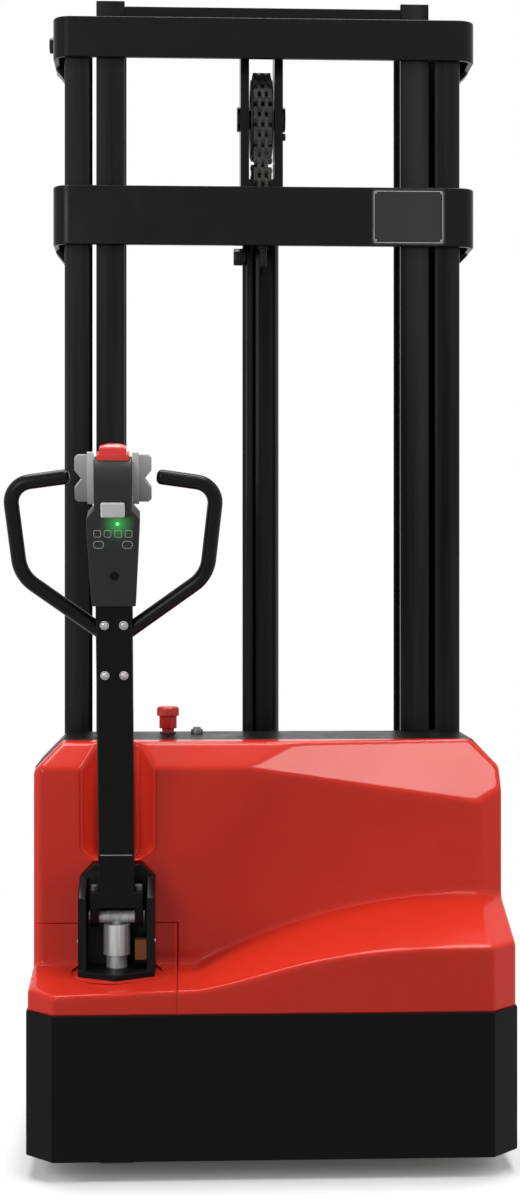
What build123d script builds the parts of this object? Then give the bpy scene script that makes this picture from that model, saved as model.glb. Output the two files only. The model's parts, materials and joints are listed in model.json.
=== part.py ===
from build123d import *

import os
from math import cos, floor, radians, sin, sqrt

# An electric pedestrian stacker with a two-stage mast, in millimetres.
# Modelling frame: X to the operator's right of the centre plane, Y from the operator's face of the
# skirt towards the fork tips, Z up from the floor. The finished model is then moved so that the
# origin is on the floor under the middle of its box.

# Body
TRUCK_WIDTH = 820.0
SKIRT_BOTTOM = 35.0
SKIRT_RIM = 6.0
SKIRT_WALL = 6.0
CORNER_CUT = 46.0
BULKHEAD_FACE = 420.0
BULKHEAD_WALL = 12.0
BODY_HEIGHT = 429.0
SHELL_WALL = 4.0
SHOULDER_WIDTH = 46.0
SHOULDER_HEIGHT = 47.0
CHASSIS_PLATE_THICK = 12.0

# Red cover, with the heights of its ledge above the skirt
COVER_INSET = 2.0
COVER_WALL = 4.0
COVER_FRONT = 3.0
COVER_FACE = 167.0
COVER_BACK = 250.0
COVER_TOP_BEVEL = 42.5
COVER_LEFT_CUT = 13.0
COVER_RIGHT_CUT = 44.0
COVER_RIGHT_CUT_DEPTH = 22.0
FACET_START = -43.0
FACET_DROP = 62.0
FACET_DEPTH = 79.0
LEDGE_START_OFFSET = 139.0
LEDGE_END_INSET = 44.0
LEDGE_FRONT_LOW = 30.0
LEDGE_FRONT_STEP = 40.5
LEDGE_FRONT_HIGH = 106.0
LEDGE_BACK_LOW = 48.5
LEDGE_BACK_HIGH = 169.0
LEDGE_BACK_BULGE = 34.5
RECESS_WIDTH = 127.0
RECESS_FLOOR_WIDTH = 69.0
RECESS_DEPTH = 45.0
RECESS_FOOT_GAP = 7.0
RECESS_FOOT_RISE = 18.0
PANEL_HEIGHT = 120.0
PANEL_SIDE_OFFSET = 102.0
PANEL_GAP = 0.8

# Legs, forks and carriage
LEG_SPREAD = 400.0
LEG_WIDTH = 118.0
LEG_BOTTOM = 15.0
LEG_WALL = 7.0
LEG_TOE = 140.0
LEG_TOE_UNDERCUT = 40.0
LEG_TOE_LOW = 12.0
LEG_TOE_HIGH = 26.0
LEG_TOE_SLOPE = 60.0
LOAD_WHEEL_DIAMETER = 80.0
LOAD_WHEEL_WIDTH = 74.0
LOAD_WHEEL_EDGE = 4.0
LOAD_WHEEL_SETBACK = 231.0
LOAD_WHEEL_END_GAP = 8.0
LOAD_WHEEL_SIDE_GAP = 4.0
LOAD_AXLE_DIAMETER = 20.0
FORK_LENGTH = 1150.0
FORK_WIDTH = 170.0
FORK_PLATE = 8.0
FORK_DEPTH = 58.0
FORK_WHEEL_GAP = 4.0
FORK_LEG_GAP = 12.0
FORK_TIP_TAPER = 110.0
FORK_TIP_HEIGHT = 22.0
BEAM_BOTTOM = 30.0
BEAM_TOP = 90.0
BEAM_WALL = 8.0
CARRIAGE_PLATE = 12.0
CARRIAGE_TOP = 560.0
CARRIAGE_RAIL = 90.0
CARRIAGE_CHEEK = 14.0
CARRIAGE_CHEEK_TOP = 485.0
CARRIAGE_TIE_GAP = 4.0
CARRIAGE_ROLLER_LOW = 185.0
CARRIAGE_ROLLER_STEP = 250.0
CARRIAGE_FACE_GAP = 18.0
CHAIN_LUG_HEIGHT = 40.0

# Mast
LIFT_TRAVEL = 1500.0
MAST_INSET = 40.0
OUTER_FLANGE = 47.0
INNER_FLANGE = 53.0
COLUMN_GAP = 12.0
COLUMN_DEPTH = 120.0
COLUMN_WALL = 10.0
OUTER_COLUMN_DROP = 37.0
INNER_COLUMN_LIFT = 6.0
TOP_BEAM_PROUD = 5.0
TOP_BEAM_HEIGHT = 75.5
SECOND_BEAM_DROP = 113.0
SECOND_BEAM_HEIGHT = 110.0
BAND_THICK = 12.0
BAND_LEFT_STANDOFF = 10.0
BAND_RIGHT_STANDOFF = 16.0
BAND_CORNER = 32.0
BAND_REACH = 140.0
GUSSET_DROP = 28.0
INNER_COLUMN_PROUD = 10.0
INNER_BEAM_HEIGHT = 50.0
INNER_TIE_HEIGHT = 30.0
INNER_TIE_THICK = 12.0
INNER_TIE_CLEARANCE = 4.0
MAST_ROLLER_LOW = 165.0
MAST_ROLLER_STEP = 290.0
ROLLER_FLANGE_GAP = 1.0
ROLLER_END_GAP = 6.0
ROLLER_EDGE = 3.0
ROLLER_PIN_DIAMETER = 30.0
ROLLER_PIN_PROUD = 1.0
ROLLER_COLLAR_DIAMETER = 46.0

# Lift cylinder, sheave and chain
CYLINDER_BORE = 55.0
CYLINDER_WALL = 6.5
CYLINDER_END_GAP = 8.0
GLAND_LENGTH = 24.0
GLAND_WALL = 4.0
ROD_DIAMETER = 45.0
PISTON_LENGTH = 40.0
PISTON_PLACE = 150.0
SHEAVE_RISE = 136.0
SHEAVE_HEADROOM = 138.0
SHEAVE_AXLE_DIAMETER = 40.0
AXLE_HEAD_DIAMETER = 47.0
AXLE_HEAD_LENGTH = 6.0
SHEAVE_FLANGE_RIM = 5.0
SHEAVE_FLANGE_THICK = 3.5
SHEAVE_SIDE_GAP = 3.7
SHEAVE_HUB_WALL = 12.0
SHEAVE_RIM_WALL = 14.0
FRAME_PLATE = 16.0
FRAME_DEPTH = 80.0
FRAME_FOOT_GAP = 9.0
FRAME_FOOT_THICK = 14.0
CHAIN_PITCH = 19.05
CHAIN_PLATE_HEIGHT = 17.0
CHAIN_PLATE_THICK = 6.6
CHAIN_LINK_GAP = 3.5
CHAIN_WRAP_LINKS = 13
CHAIN_CLEAR_OF_BEAM = 4.0
REAR_ANCHOR_RISE = 35.0
FRONT_ANCHOR_HEIGHT = 250.0
PIPE_DIAMETER = 20.0
PIPE_BEND = 26.0
PIPE_OFFSET = -27.0
PIPE_LAP = 75.0
PIPE_GAP = 3.0
PIPE_NUT = 2.0
PIPE_INLET_HEIGHT = 520.0
PIPE_PORT_GAP = 3.0
CLAMP_THICK = 30.0
CLAMP_RISE = 22.0
CLAMP_WALL = 14.0
CLAMP_ARM = 20.0
CLAMP_CHAIN_GAP = 8.0

# Steering, drive wheel and caster
TILLER_INSET = 148.0
DRIVE_WHEEL_DIAMETER = 210.0
DRIVE_WHEEL_WIDTH = 70.0
DRIVE_TYRE_THICK = 26.0
DRIVE_AXLE_DIAMETER = 30.0
DRIVE_SWING_GAP = 8.3
YOKE_WHEEL_GAP = 12.0
YOKE_CHEEK = 14.0
YOKE_CHEEK_WIDTH = 70.0
YOKE_SIDE_GAP = 4.0
YOKE_PLATE_RADIUS = 62.0
YOKE_PLATE_THICK = 16.0
BEARING_HEIGHT = 19.0
BEARING_OUTER_DIAMETER = 150.0
BEARING_BORE_DIAMETER = 100.0
STEM_DIAMETER = 60.0
STEM_CLEARANCE = 4.0
CASTER_INSET = 148.0
CASTER_SWING_GAP = 9.0
CASTER_TRAIL = 40.0
CASTER_DIAMETER = 150.0
CASTER_WIDTH = 50.0
CASTER_SIDE_GAP = 3.0
CASTER_CHEEK = 8.0
CASTER_CROWN_GAP = 8.0
CASTER_CROWN = 12.0
CASTER_PIN_DIAMETER = 30.0
CASTER_BOSS_WALL = 15.0
CASTER_AXLE_DIAMETER = 16.0

# Tiller seat and tiller
SEAT_STANDOFF = 43.0
SEAT_HALF_DEPTH = 36.0
SEAT_CHEEK = 14.0
SEAT_SIDE_GAP = 3.3
SEAT_BACK = 10.0
SEAT_PLATE = 12.0
SEAT_RISE = 84.0
SEAT_TOP_CUT = 22.0
SEAT_FRONT_RISE = 37.0
SEAT_PROW = 74.0
SEAT_WELL_DEPTH = 2.0
SEAT_WELL_GAP = 3.0
PIVOT_PIN_DIAMETER = 14.0
PIVOT_PIN_HEAD = 3.0
PIVOT_SLEEVE_DIAMETER = 21.0
PIVOT_SLEEVE_LENGTH = 60.0
POST_FOOT_DIAMETER = 35.5
POST_FOOT_LENGTH = 22.0
POST_DIAMETER = 45.5
POST_LENGTH = 51.0
POST_NECK_DIAMETER = 18.0
POST_NECK_LENGTH = 12.0
SWITCH_WIDTH = 20.0
SWITCH_DEPTH = 24.0
SWITCH_RISE = 13.0
SWITCH_HEIGHT = 34.0
TILLER_LEAN = 14.0
ARM_WIDTH = 60.0
ARM_DEPTH = 40.0
ARM_WALL = 4.0
ARM_START = 120.0
ARM_LENGTH = 433.0
YOKE_EAR = 14.0
YOKE_EAR_RADIUS = 17.0
YOKE_POST_GAP = 1.5
YOKE_BLOCK_HEIGHT = 28.0
HANDLE_DIAMETER = 24.5
HANDLE_HALF_WIDTH = 167.0
HANDLE_END_GAP = 8.0
HANDLE_END_RISE = 3.0
HANDLE_GRIP_DROP = 11.0
HANDLE_ELBOW_INSET = 16.0
HANDLE_ELBOW_DROP = 161.0
HANDLE_VEE_DROP = 65.0
HANDLE_GRIP_BEND = 34.0
HANDLE_ELBOW_BEND = 60.0
HANDLE_VEE_BEND = 30.0
HEAD_LENGTH = 207.0
HEAD_FOOT_HALF = 35.5
HEAD_FOOT_LAP = 2.0
HEAD_HALF = 42.3
HEAD_WIDEST_DROP = 78.0
HEAD_SHOULDER_DROP = 60.0
HEAD_WAIST_DROP = 46.0
HEAD_FRONT = -33.0
HEAD_FRONT_FOOT = -25.0
HEAD_FACE_DROP = 122.0
HEAD_BACK = 27.0
BARREL_RADIUS = 35.0
BARREL_HALF = 30.0
THROTTLE_SHAFT_DIAMETER = 16.0
KNOB_GAP = 1.0
KNOB_DEPTH = 26.0
KNOB_TIP = 6.0
KNOB_COLLAR = 10.5
KNOB_COLLAR_REACH = 42.0
KNOB_WING = 20.0
KNOB_WING_REACH = 38.0
KNOB_CORNER = 5.0
KNOB_NOTCH = 12.0
KNOB_NOTCH_HALF = 15.0
BELLY_HALF = 26.0
BELLY_DEPTH = 28.0
BELLY_FOOT_RISE = 26.0
BELLY_LIP_RISE = 41.0
BELLY_DOME_HALF = 21.5
BELLY_DOME_DEPTH = 24.0
BELLY_DOME_EDGE = 6.0
BELLY_TOP_RISE = 56.0
BELLY_TRAVEL = 8.0
HORN_HALF = 19.3
HORN_DROP = 58.0
HORN_HEIGHT = 25.0
HORN_PROUD = 3.5
HORN_TRAVEL = 2.5
HORN_THICK = 8.0

# Switches on the deck
ESTOP_OFFSET = 85.0
ESTOP_SETBACK = 42.0
ESTOP_HEIGHT = 49.5
ESTOP_TRAVEL = 6.0
ESTOP_CAP_DIAMETER = 40.5
ESTOP_CAP_HEIGHT = 17.0
ESTOP_CAP_EDGE = 3.5
ESTOP_NECK_DIAMETER = 32.0
ESTOP_PLUNGER_DIAMETER = 22.0
ESTOP_PLUNGER_REACH = 14.0
ESTOP_BEZEL_HEIGHT = 3.0
ESTOP_BEZEL_WALL = 3.6
KEY_SPACING = 53.0
KEY_SETBACK = 46.0
KEY_BEZEL_DIAMETER = 22.0
KEY_BEZEL_HEIGHT = 8.0
KEY_KNOB_DIAMETER = 15.0
KEY_KNOB_HEIGHT = 2.0
KEY_GRIP_HEIGHT = 4.0
KEY_GRIP_THICK = 5.0

# Battery, power unit and controller inside the body
BATTERY_SIZE = (300.0, 150.0, 230.0)
BATTERY_SIDE_GAP = 16.0
BATTERY_BACK_GAP = 8.0
POWER_UNIT_GAP = 55.0
TANK_SIZE = (160.0, 130.0, 110.0)
MOTOR_DIAMETER = 110.0
MOTOR_HEIGHT = 130.0
VALVE_BLOCK_SIZE = (110.0, 100.0, 80.0)
CONTROLLER_SIZE = (170.0, 110.0, 60.0)
CONTROLLER_SIDE_GAP = 21.0

# Clearances
RUNNING_CLEARANCE = 0.05
SLIDING_CLEARANCE = 0.4
FACE_CLEARANCE = 0.5
CUT_PAST = 2.0

# Body and cover, from the drive wheel up
half_width = TRUCK_WIDTH / 2
cover_half = half_width - COVER_INSET
yoke_plate_bottom = DRIVE_WHEEL_DIAMETER + YOKE_WHEEL_GAP
yoke_plate_top = yoke_plate_bottom + YOKE_PLATE_THICK
chassis_plate_bottom = yoke_plate_top + BEARING_HEIGHT
chassis_plate_top = chassis_plate_bottom + CHASSIS_PLATE_THICK
skirt_top = chassis_plate_top + SKIRT_RIM
deck_top = skirt_top + BODY_HEIGHT
ledge_front_low = skirt_top + LEDGE_FRONT_LOW
ledge_front_step = skirt_top + LEDGE_FRONT_STEP
ledge_front_high = skirt_top + LEDGE_FRONT_HIGH
ledge_back_low = skirt_top + LEDGE_BACK_LOW
ledge_back_high = skirt_top + LEDGE_BACK_HIGH
drive_swing = sqrt(DRIVE_WHEEL_DIAMETER**2 + DRIVE_WHEEL_WIDTH**2) / 2
tiller_offset = TILLER_INSET - half_width
steer_place = SKIRT_WALL + DRIVE_SWING_GAP + drive_swing
caster_offset = half_width - CASTER_INSET
caster_place = SKIRT_WALL + CASTER_SWING_GAP + CASTER_TRAIL + CASTER_DIAMETER / 2
ledge_rise_start = tiller_offset + LEDGE_START_OFFSET
ledge_rise_end = cover_half - LEDGE_END_INSET
panel_top = skirt_top + PANEL_HEIGHT
panel_side = tiller_offset + PANEL_SIDE_OFFSET

# Tiller seat and tiller
seat_bottom = skirt_top + SEAT_STANDOFF
seat_plate_top = seat_bottom + SEAT_PLATE
post_step = seat_plate_top + POST_FOOT_LENGTH
post_top = post_step + POST_LENGTH
pivot_height = post_top + POST_NECK_LENGTH
seat_top = pivot_height + SEAT_RISE
seat_front_top = pivot_height + SEAT_FRONT_RISE
recess_foot = seat_top + RECESS_FOOT_GAP
ear_start = PIVOT_SLEEVE_LENGTH / 2 + FACE_CLEARANCE
ear_end = ear_start + YOKE_EAR
pivot_pin_end = ear_end + PIVOT_PIN_HEAD
seat_half = pivot_pin_end + SEAT_SIDE_GAP + SEAT_CHEEK
seat_well_radius = max(sqrt(seat_half**2 + SEAT_HALF_DEPTH**2), SEAT_PROW) + SEAT_WELL_GAP
yoke_block_start = POST_DIAMETER / 2 + YOKE_POST_GAP
yoke_block_end = yoke_block_start + YOKE_BLOCK_HEIGHT
arm_end = ARM_START + ARM_LENGTH
barrel_height = arm_end + HEAD_LENGTH
knob_start = BARREL_HALF + KNOB_GAP
knob_collar_end = knob_start + KNOB_COLLAR
knob_end = knob_collar_end + KNOB_WING
handle_end = knob_end + HANDLE_END_GAP
handle_grip = barrel_height - HANDLE_GRIP_DROP
handle_elbow = barrel_height - HANDLE_ELBOW_DROP
handle_vee = arm_end - HANDLE_VEE_DROP
belly_foot = barrel_height + BELLY_FOOT_RISE
belly_lip = barrel_height + BELLY_LIP_RISE
belly_top = barrel_height + BELLY_TOP_RISE
horn_low = barrel_height - HORN_DROP

# Mast, chain and carriage
mast_back = BULKHEAD_FACE + BULKHEAD_WALL
mast_front = mast_back + COLUMN_DEPTH
roller_line = mast_back + COLUMN_DEPTH / 2
outer_face = half_width - MAST_INSET
outer_lip = outer_face - OUTER_FLANGE
inner_face = outer_lip - COLUMN_GAP
inner_lip = inner_face - INNER_FLANGE
inner_column_bottom = BEAM_TOP + INNER_COLUMN_LIFT
roller_diameter = COLUMN_DEPTH - 2 * (COLUMN_WALL + ROLLER_FLANGE_GAP)
mast_roller = (outer_lip + ROLLER_END_GAP, outer_face - COLUMN_WALL - ROLLER_END_GAP)
carriage_roller = (inner_lip + ROLLER_END_GAP, inner_face - COLUMN_WALL - ROLLER_END_GAP)
cylinder_radius = CYLINDER_BORE / 2 + CYLINDER_WALL
piston_top = PISTON_PLACE + PISTON_LENGTH
cylinder_top = piston_top + LIFT_TRAVEL + CYLINDER_END_GAP + GLAND_LENGTH
frame_foot = cylinder_top + FRAME_FOOT_GAP
sheave_height = frame_foot + SHEAVE_RISE
inner_beam_bottom = sheave_height + SHEAVE_HEADROOM
mast_height = inner_beam_bottom + INNER_BEAM_HEIGHT + INNER_COLUMN_PROUD
outer_column_top = mast_height - OUTER_COLUMN_DROP
top_beam_bottom = outer_column_top + TOP_BEAM_PROUD - TOP_BEAM_HEIGHT
second_beam_bottom = cylinder_top - SECOND_BEAM_DROP
rear_anchor_height = second_beam_bottom + REAR_ANCHOR_RISE
clamp_bottom = second_beam_bottom + CLAMP_RISE
clamp_top = clamp_bottom + CLAMP_THICK
chain_width = 5 * CHAIN_PLATE_THICK
chain_reach = CHAIN_PITCH / 2 - CHAIN_LINK_GAP
chain_radius = CHAIN_PITCH / 2 / sin(radians(90 / CHAIN_WRAP_LINKS))
chain_inside = chain_radius * cos(radians(90 / CHAIN_WRAP_LINKS)) - CHAIN_PLATE_HEIGHT / 2
lift_line = mast_back + CHAIN_CLEAR_OF_BEAM + CHAIN_PLATE_HEIGHT / 2 + chain_radius
front_chain_line = lift_line + chain_radius
rear_chain_line = lift_line - chain_radius
rear_links = floor((sheave_height - rear_anchor_height) / CHAIN_PITCH)
front_links = floor((sheave_height - FRONT_ANCHOR_HEIGHT) / CHAIN_PITCH)
rear_chain_end = sheave_height - rear_links * CHAIN_PITCH
front_chain_end = sheave_height - front_links * CHAIN_PITCH
front_first_link = rear_links + CHAIN_WRAP_LINKS + front_links - 1
clamp_arm_start = chain_width / 2 + CLAMP_CHAIN_GAP
sheave_half = chain_width / 2 + SLIDING_CLEARANCE + SHEAVE_FLANGE_THICK
frame_inside = sheave_half + SHEAVE_SIDE_GAP
frame_outside = frame_inside + FRAME_PLATE
fork_start = front_chain_line + CHAIN_PLATE_HEIGHT / 2 + CARRIAGE_FACE_GAP + CARRIAGE_PLATE
fork_tip = fork_start + FORK_LENGTH
fork_top = LOAD_WHEEL_DIAMETER + FORK_WHEEL_GAP + FORK_PLATE
fork_bottom = fork_top - FORK_DEPTH
fork_middle = LEG_SPREAD / 2
leg_top = fork_top - FORK_PLATE - FORK_LEG_GAP
load_wheel_place = fork_tip - LOAD_WHEEL_SETBACK
leg_tip = load_wheel_place + LEG_TOE
carriage_half = fork_middle + FORK_WIDTH / 2
carriage_cheek_face = inner_lip - COLUMN_GAP
carriage_cheek_bottom = inner_column_bottom + INNER_TIE_HEIGHT + CARRIAGE_TIE_GAP
carriage_window = (FRONT_ANCHOR_HEIGHT + CARRIAGE_RAIL / 2, CARRIAGE_TOP - CARRIAGE_RAIL)

# Pieces on the deck and inside the body
estop_x = tiller_offset + ESTOP_OFFSET
estop_y = BULKHEAD_FACE - ESTOP_SETBACK
key_x = estop_x + KEY_SPACING
key_y = BULKHEAD_FACE - KEY_SETBACK
inside_place = BULKHEAD_FACE - BATTERY_BACK_GAP - BATTERY_SIZE[1]
battery_x = half_width - SHELL_WALL - BATTERY_SIDE_GAP - BATTERY_SIZE[0]
power_unit_x = battery_x - POWER_UNIT_GAP - TANK_SIZE[0] / 2
power_unit_y = inside_place + TANK_SIZE[1] / 2
controller_x = -half_width + SHELL_WALL + CONTROLLER_SIDE_GAP
pipe_port_depth = power_unit_y + MOTOR_DIAMETER / 2 + PIPE_PORT_GAP


def block(x, y, z):
    """A rectangular block between the low and high ends given for X, Y and Z."""
    ends = (x, y, z)
    size = [high - low for low, high in ends]
    middle = [(low + high) / 2 for low, high in ends]
    return Pos(*middle) * Box(*size)


def upright(x, y, z, radius):
    """A round bar along Z between the two ends in z."""
    return Pos(x, y, (z[0] + z[1]) / 2) * Cylinder(radius, z[1] - z[0])


def crossbar(x, y, z, radius):
    """A round bar along X between the two ends in x."""
    return Pos((x[0] + x[1]) / 2, y, z) * Rot(0, 90, 0) * Cylinder(radius, x[1] - x[0])


def outline(points):
    return make_face(Polyline(*points, close=True))


def plan_prism(points, z):
    """A plan outline of (x, y) points, raised between the two heights in z."""
    return extrude(Pos(0, 0, z[0]) * outline(points), z[1] - z[0], dir=(0, 0, 1))


def side_prism(points, x):
    """A side outline of (y, z) points, run along X."""
    return extrude(Plane.YZ.offset(x[0]) * outline(points), x[1] - x[0], dir=(1, 0, 0))


def front_prism(points, y):
    """A front outline of (x, z) points, run along Y."""
    return extrude(Plane.XZ.offset(-y[0]) * outline(points), y[1] - y[0], dir=(0, 1, 0))


def turned(points):
    """A ring or wheel about the X axis from a section of (x, radius) points."""
    return revolve(outline(points), Axis.X)


def on_right(part):
    return mirror(part, about=Plane.YZ)


# Chassis
def make_skirt():
    """Bent plate round the operator's end, with cut corners."""
    def ring(inset):
        side = half_width - inset
        cut = CORNER_CUT - inset * (2 - sqrt(2))
        return [(-side, inset + cut), (-side + cut, inset), (side - cut, inset), (side, inset + cut)]

    outer = [(-half_width, BULKHEAD_FACE), *ring(0), (half_width, BULKHEAD_FACE)]
    inner = [(half_width - SKIRT_WALL, BULKHEAD_FACE), *reversed(ring(SKIRT_WALL))]
    inner.append((-half_width + SKIRT_WALL, BULKHEAD_FACE))
    return plan_prism(outer + inner, (SKIRT_BOTTOM, skirt_top))


def make_chassis_plate():
    """Plate inside the skirt that carries the drive, the caster and the batteries."""
    side = half_width - SKIRT_WALL
    cut = CORNER_CUT - SKIRT_WALL * (2 - sqrt(2))
    points = [
        (-side, BULKHEAD_FACE),
        (-side, SKIRT_WALL + cut),
        (-side + cut, SKIRT_WALL),
        (side - cut, SKIRT_WALL),
        (side, SKIRT_WALL + cut),
        (side, BULKHEAD_FACE),
    ]
    plate = plan_prism(points, (chassis_plate_bottom, chassis_plate_top))
    through = (chassis_plate_bottom - CUT_PAST, chassis_plate_top + CUT_PAST)
    plate -= upright(tiller_offset, steer_place, through, STEM_DIAMETER / 2 + STEM_CLEARANCE)
    pin_radius = CASTER_PIN_DIAMETER / 2 + RUNNING_CLEARANCE
    boss_bottom = caster_crown_top() + FACE_CLEARANCE
    boss = (boss_bottom, chassis_plate_bottom)
    plate += upright(caster_offset, caster_place, boss, pin_radius + CASTER_BOSS_WALL)
    bore = (boss_bottom - CUT_PAST, chassis_plate_top + CUT_PAST)
    return plate - upright(caster_offset, caster_place, bore, pin_radius)


def make_base_frame():
    """Welded foot of the mast: a box beam on the floor side and the bulkhead that closes the body."""
    beam = block((-half_width, half_width), (mast_back, mast_front), (BEAM_BOTTOM, BEAM_TOP))
    beam -= block(
        (-half_width - CUT_PAST, half_width + CUT_PAST),
        (mast_back + BEAM_WALL, mast_front - BEAM_WALL),
        (BEAM_BOTTOM + BEAM_WALL, BEAM_TOP - BEAM_WALL),
    )
    shoulder = deck_top - SHELL_WALL
    wall = front_prism(
        [
            (-half_width, BEAM_BOTTOM),
            (-half_width, shoulder - SHOULDER_HEIGHT),
            (-half_width + SHOULDER_WIDTH, shoulder),
            (half_width - SHOULDER_WIDTH, shoulder),
            (half_width, shoulder - SHOULDER_HEIGHT),
            (half_width, BEAM_BOTTOM),
        ],
        (BULKHEAD_FACE, mast_back),
    )
    port = Pos(PIPE_OFFSET, mast_back, PIPE_INLET_HEIGHT) * Rot(90, 0, 0)
    return beam + wall - port * Cylinder(PIPE_DIAMETER / 2 + FACE_CLEARANCE, 4 * BULKHEAD_WALL)


def make_leg(side):
    """One straddle leg: a channel with a slot for the load wheel and a tapered toe."""
    middle = side * fork_middle
    profile = [
        (mast_front, LEG_BOTTOM),
        (leg_tip - LEG_TOE_UNDERCUT, LEG_BOTTOM),
        (leg_tip, LEG_BOTTOM + LEG_TOE_LOW),
        (leg_tip, LEG_BOTTOM + LEG_TOE_HIGH),
        (leg_tip - LEG_TOE_SLOPE, leg_top),
        (mast_front, leg_top),
    ]
    leg = side_prism(profile, (middle - LEG_WIDTH / 2, middle + LEG_WIDTH / 2))
    slot_reach = LOAD_WHEEL_DIAMETER / 2 + LOAD_WHEEL_END_GAP
    hollow_end = load_wheel_place - slot_reach - LEG_WALL
    leg -= block(
        (middle - LEG_WIDTH / 2 + LEG_WALL, middle + LEG_WIDTH / 2 - LEG_WALL),
        (mast_front + LEG_WALL, hollow_end),
        (LEG_BOTTOM - CUT_PAST, leg_top - LEG_WALL),
    )
    slot_half = LOAD_WHEEL_WIDTH / 2 + LOAD_WHEEL_SIDE_GAP
    leg -= block(
        (middle - slot_half, middle + slot_half),
        (load_wheel_place - slot_reach, load_wheel_place + slot_reach),
        (LEG_BOTTOM - CUT_PAST, leg_top + CUT_PAST),
    )
    bore = (middle - LEG_WIDTH, middle + LEG_WIDTH)
    return leg - crossbar(bore, load_wheel_place, LOAD_WHEEL_DIAMETER / 2, LOAD_AXLE_DIAMETER / 2)


def make_load_wheel_axles():
    axles = Compound(
        children=[
            crossbar(
                (side * fork_middle - LEG_WIDTH / 2, side * fork_middle + LEG_WIDTH / 2),
                load_wheel_place,
                LOAD_WHEEL_DIAMETER / 2,
                LOAD_AXLE_DIAMETER / 2,
            )
            for side in (-1, 1)
        ]
    )
    return axles


def make_load_wheel(side):
    half = LOAD_WHEEL_WIDTH / 2
    radius = LOAD_WHEEL_DIAMETER / 2
    bore = LOAD_AXLE_DIAMETER / 2 + RUNNING_CLEARANCE
    section = [
        (-half, bore),
        (half, bore),
        (half, radius - LOAD_WHEEL_EDGE),
        (half - LOAD_WHEEL_EDGE, radius),
        (-half + LOAD_WHEEL_EDGE, radius),
        (-half, radius - LOAD_WHEEL_EDGE),
    ]
    return Pos(side * fork_middle, load_wheel_place, radius) * turned(section)


def make_body_shell():
    """Black sheet over the batteries: sides, sloped shoulders and the flat deck."""
    def arch(inset):
        side = half_width - inset
        slant = inset * (sqrt(SHOULDER_WIDTH**2 + SHOULDER_HEIGHT**2) - SHOULDER_HEIGHT) / SHOULDER_WIDTH
        drop = inset * (sqrt(SHOULDER_WIDTH**2 + SHOULDER_HEIGHT**2) - SHOULDER_WIDTH) / SHOULDER_HEIGHT
        low = deck_top - SHOULDER_HEIGHT - drop
        flat = half_width - SHOULDER_WIDTH - slant
        return [(-side, low), (-flat, deck_top - inset), (flat, deck_top - inset), (side, low)]

    outer = [(-half_width, skirt_top), *arch(0), (half_width, skirt_top)]
    inner = [(half_width - SHELL_WALL, skirt_top), *reversed(arch(SHELL_WALL))]
    inner.append((-half_width + SHELL_WALL, skirt_top))
    shell = front_prism(outer + inner, (COVER_BACK, BULKHEAD_FACE))
    through = (deck_top - SHELL_WALL - CUT_PAST, deck_top + CUT_PAST)
    return shell - upright(estop_x, estop_y, through, ESTOP_PLUNGER_DIAMETER / 2 + SLIDING_CLEARANCE)


# Red cover
def ledge_section(y, edge_low, step, high, curve, inset, bottom):
    """Front view of the lower tier at one depth, under its S-shaped top edge."""
    side = cover_half - inset
    line = Polyline(
        (ledge_rise_start, step - inset),
        (-side, edge_low - inset),
        (-side, bottom),
        (side, bottom),
        (side, high - inset),
        (ledge_rise_end, high - inset),
    )
    return Plane.XZ.offset(-y) * make_face(line + curve)


def lower_tier(inset, bottom, back):
    """Lower tier of the cover: the ledge slopes up from its front edge and its right corner cut."""
    run = ledge_rise_end - ledge_rise_start
    rise = ledge_front_high - ledge_front_step
    front_curve = Bezier(
        (ledge_rise_end, ledge_front_high - inset),
        (ledge_rise_start + 0.38 * run, ledge_front_high + 0.06 * rise - inset),
        (ledge_rise_start + 0.26 * run, ledge_front_step + 0.3 * rise - inset),
        (ledge_rise_start, ledge_front_step - inset),
    )
    middle = (ledge_rise_start + ledge_rise_end) / 2
    middle_height = (ledge_back_low + ledge_back_high) / 2 + LEDGE_BACK_BULGE
    back_curve = ThreePointArc(
        (ledge_rise_end, ledge_back_high - inset),
        (middle, middle_height - inset),
        (ledge_rise_start, ledge_back_low - inset),
    )
    front = ledge_section(
        COVER_FRONT + inset,
        ledge_front_low,
        ledge_front_step,
        ledge_front_high,
        front_curve,
        inset,
        bottom,
    )
    face = COVER_FACE + inset
    rear = ledge_section(face, ledge_back_low, ledge_back_low, ledge_back_high, back_curve, inset, bottom)
    tier = loft([front, rear], ruled=True)
    for side in (-1, 1):
        corner = Plane((side * (cover_half - CORNER_CUT), COVER_FRONT, 0), z_dir=(side, -1, 0))
        tier = split(tier, bisect_by=corner.offset(-inset), keep=Keep.BOTTOM)
    tier += extrude(rear, back - face, dir=(0, 1, 0))
    up_facet = Vector(0, COVER_FACE - COVER_FRONT, ledge_back_high - ledge_front_high)
    facet_foot = (cover_half - CORNER_CUT, COVER_FRONT, ledge_front_high)
    facet = Plane(facet_foot, z_dir=Vector(1, 1, 0).cross(up_facet))
    return split(tier, bisect_by=facet.offset(-inset), keep=Keep.BOTTOM)


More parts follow.
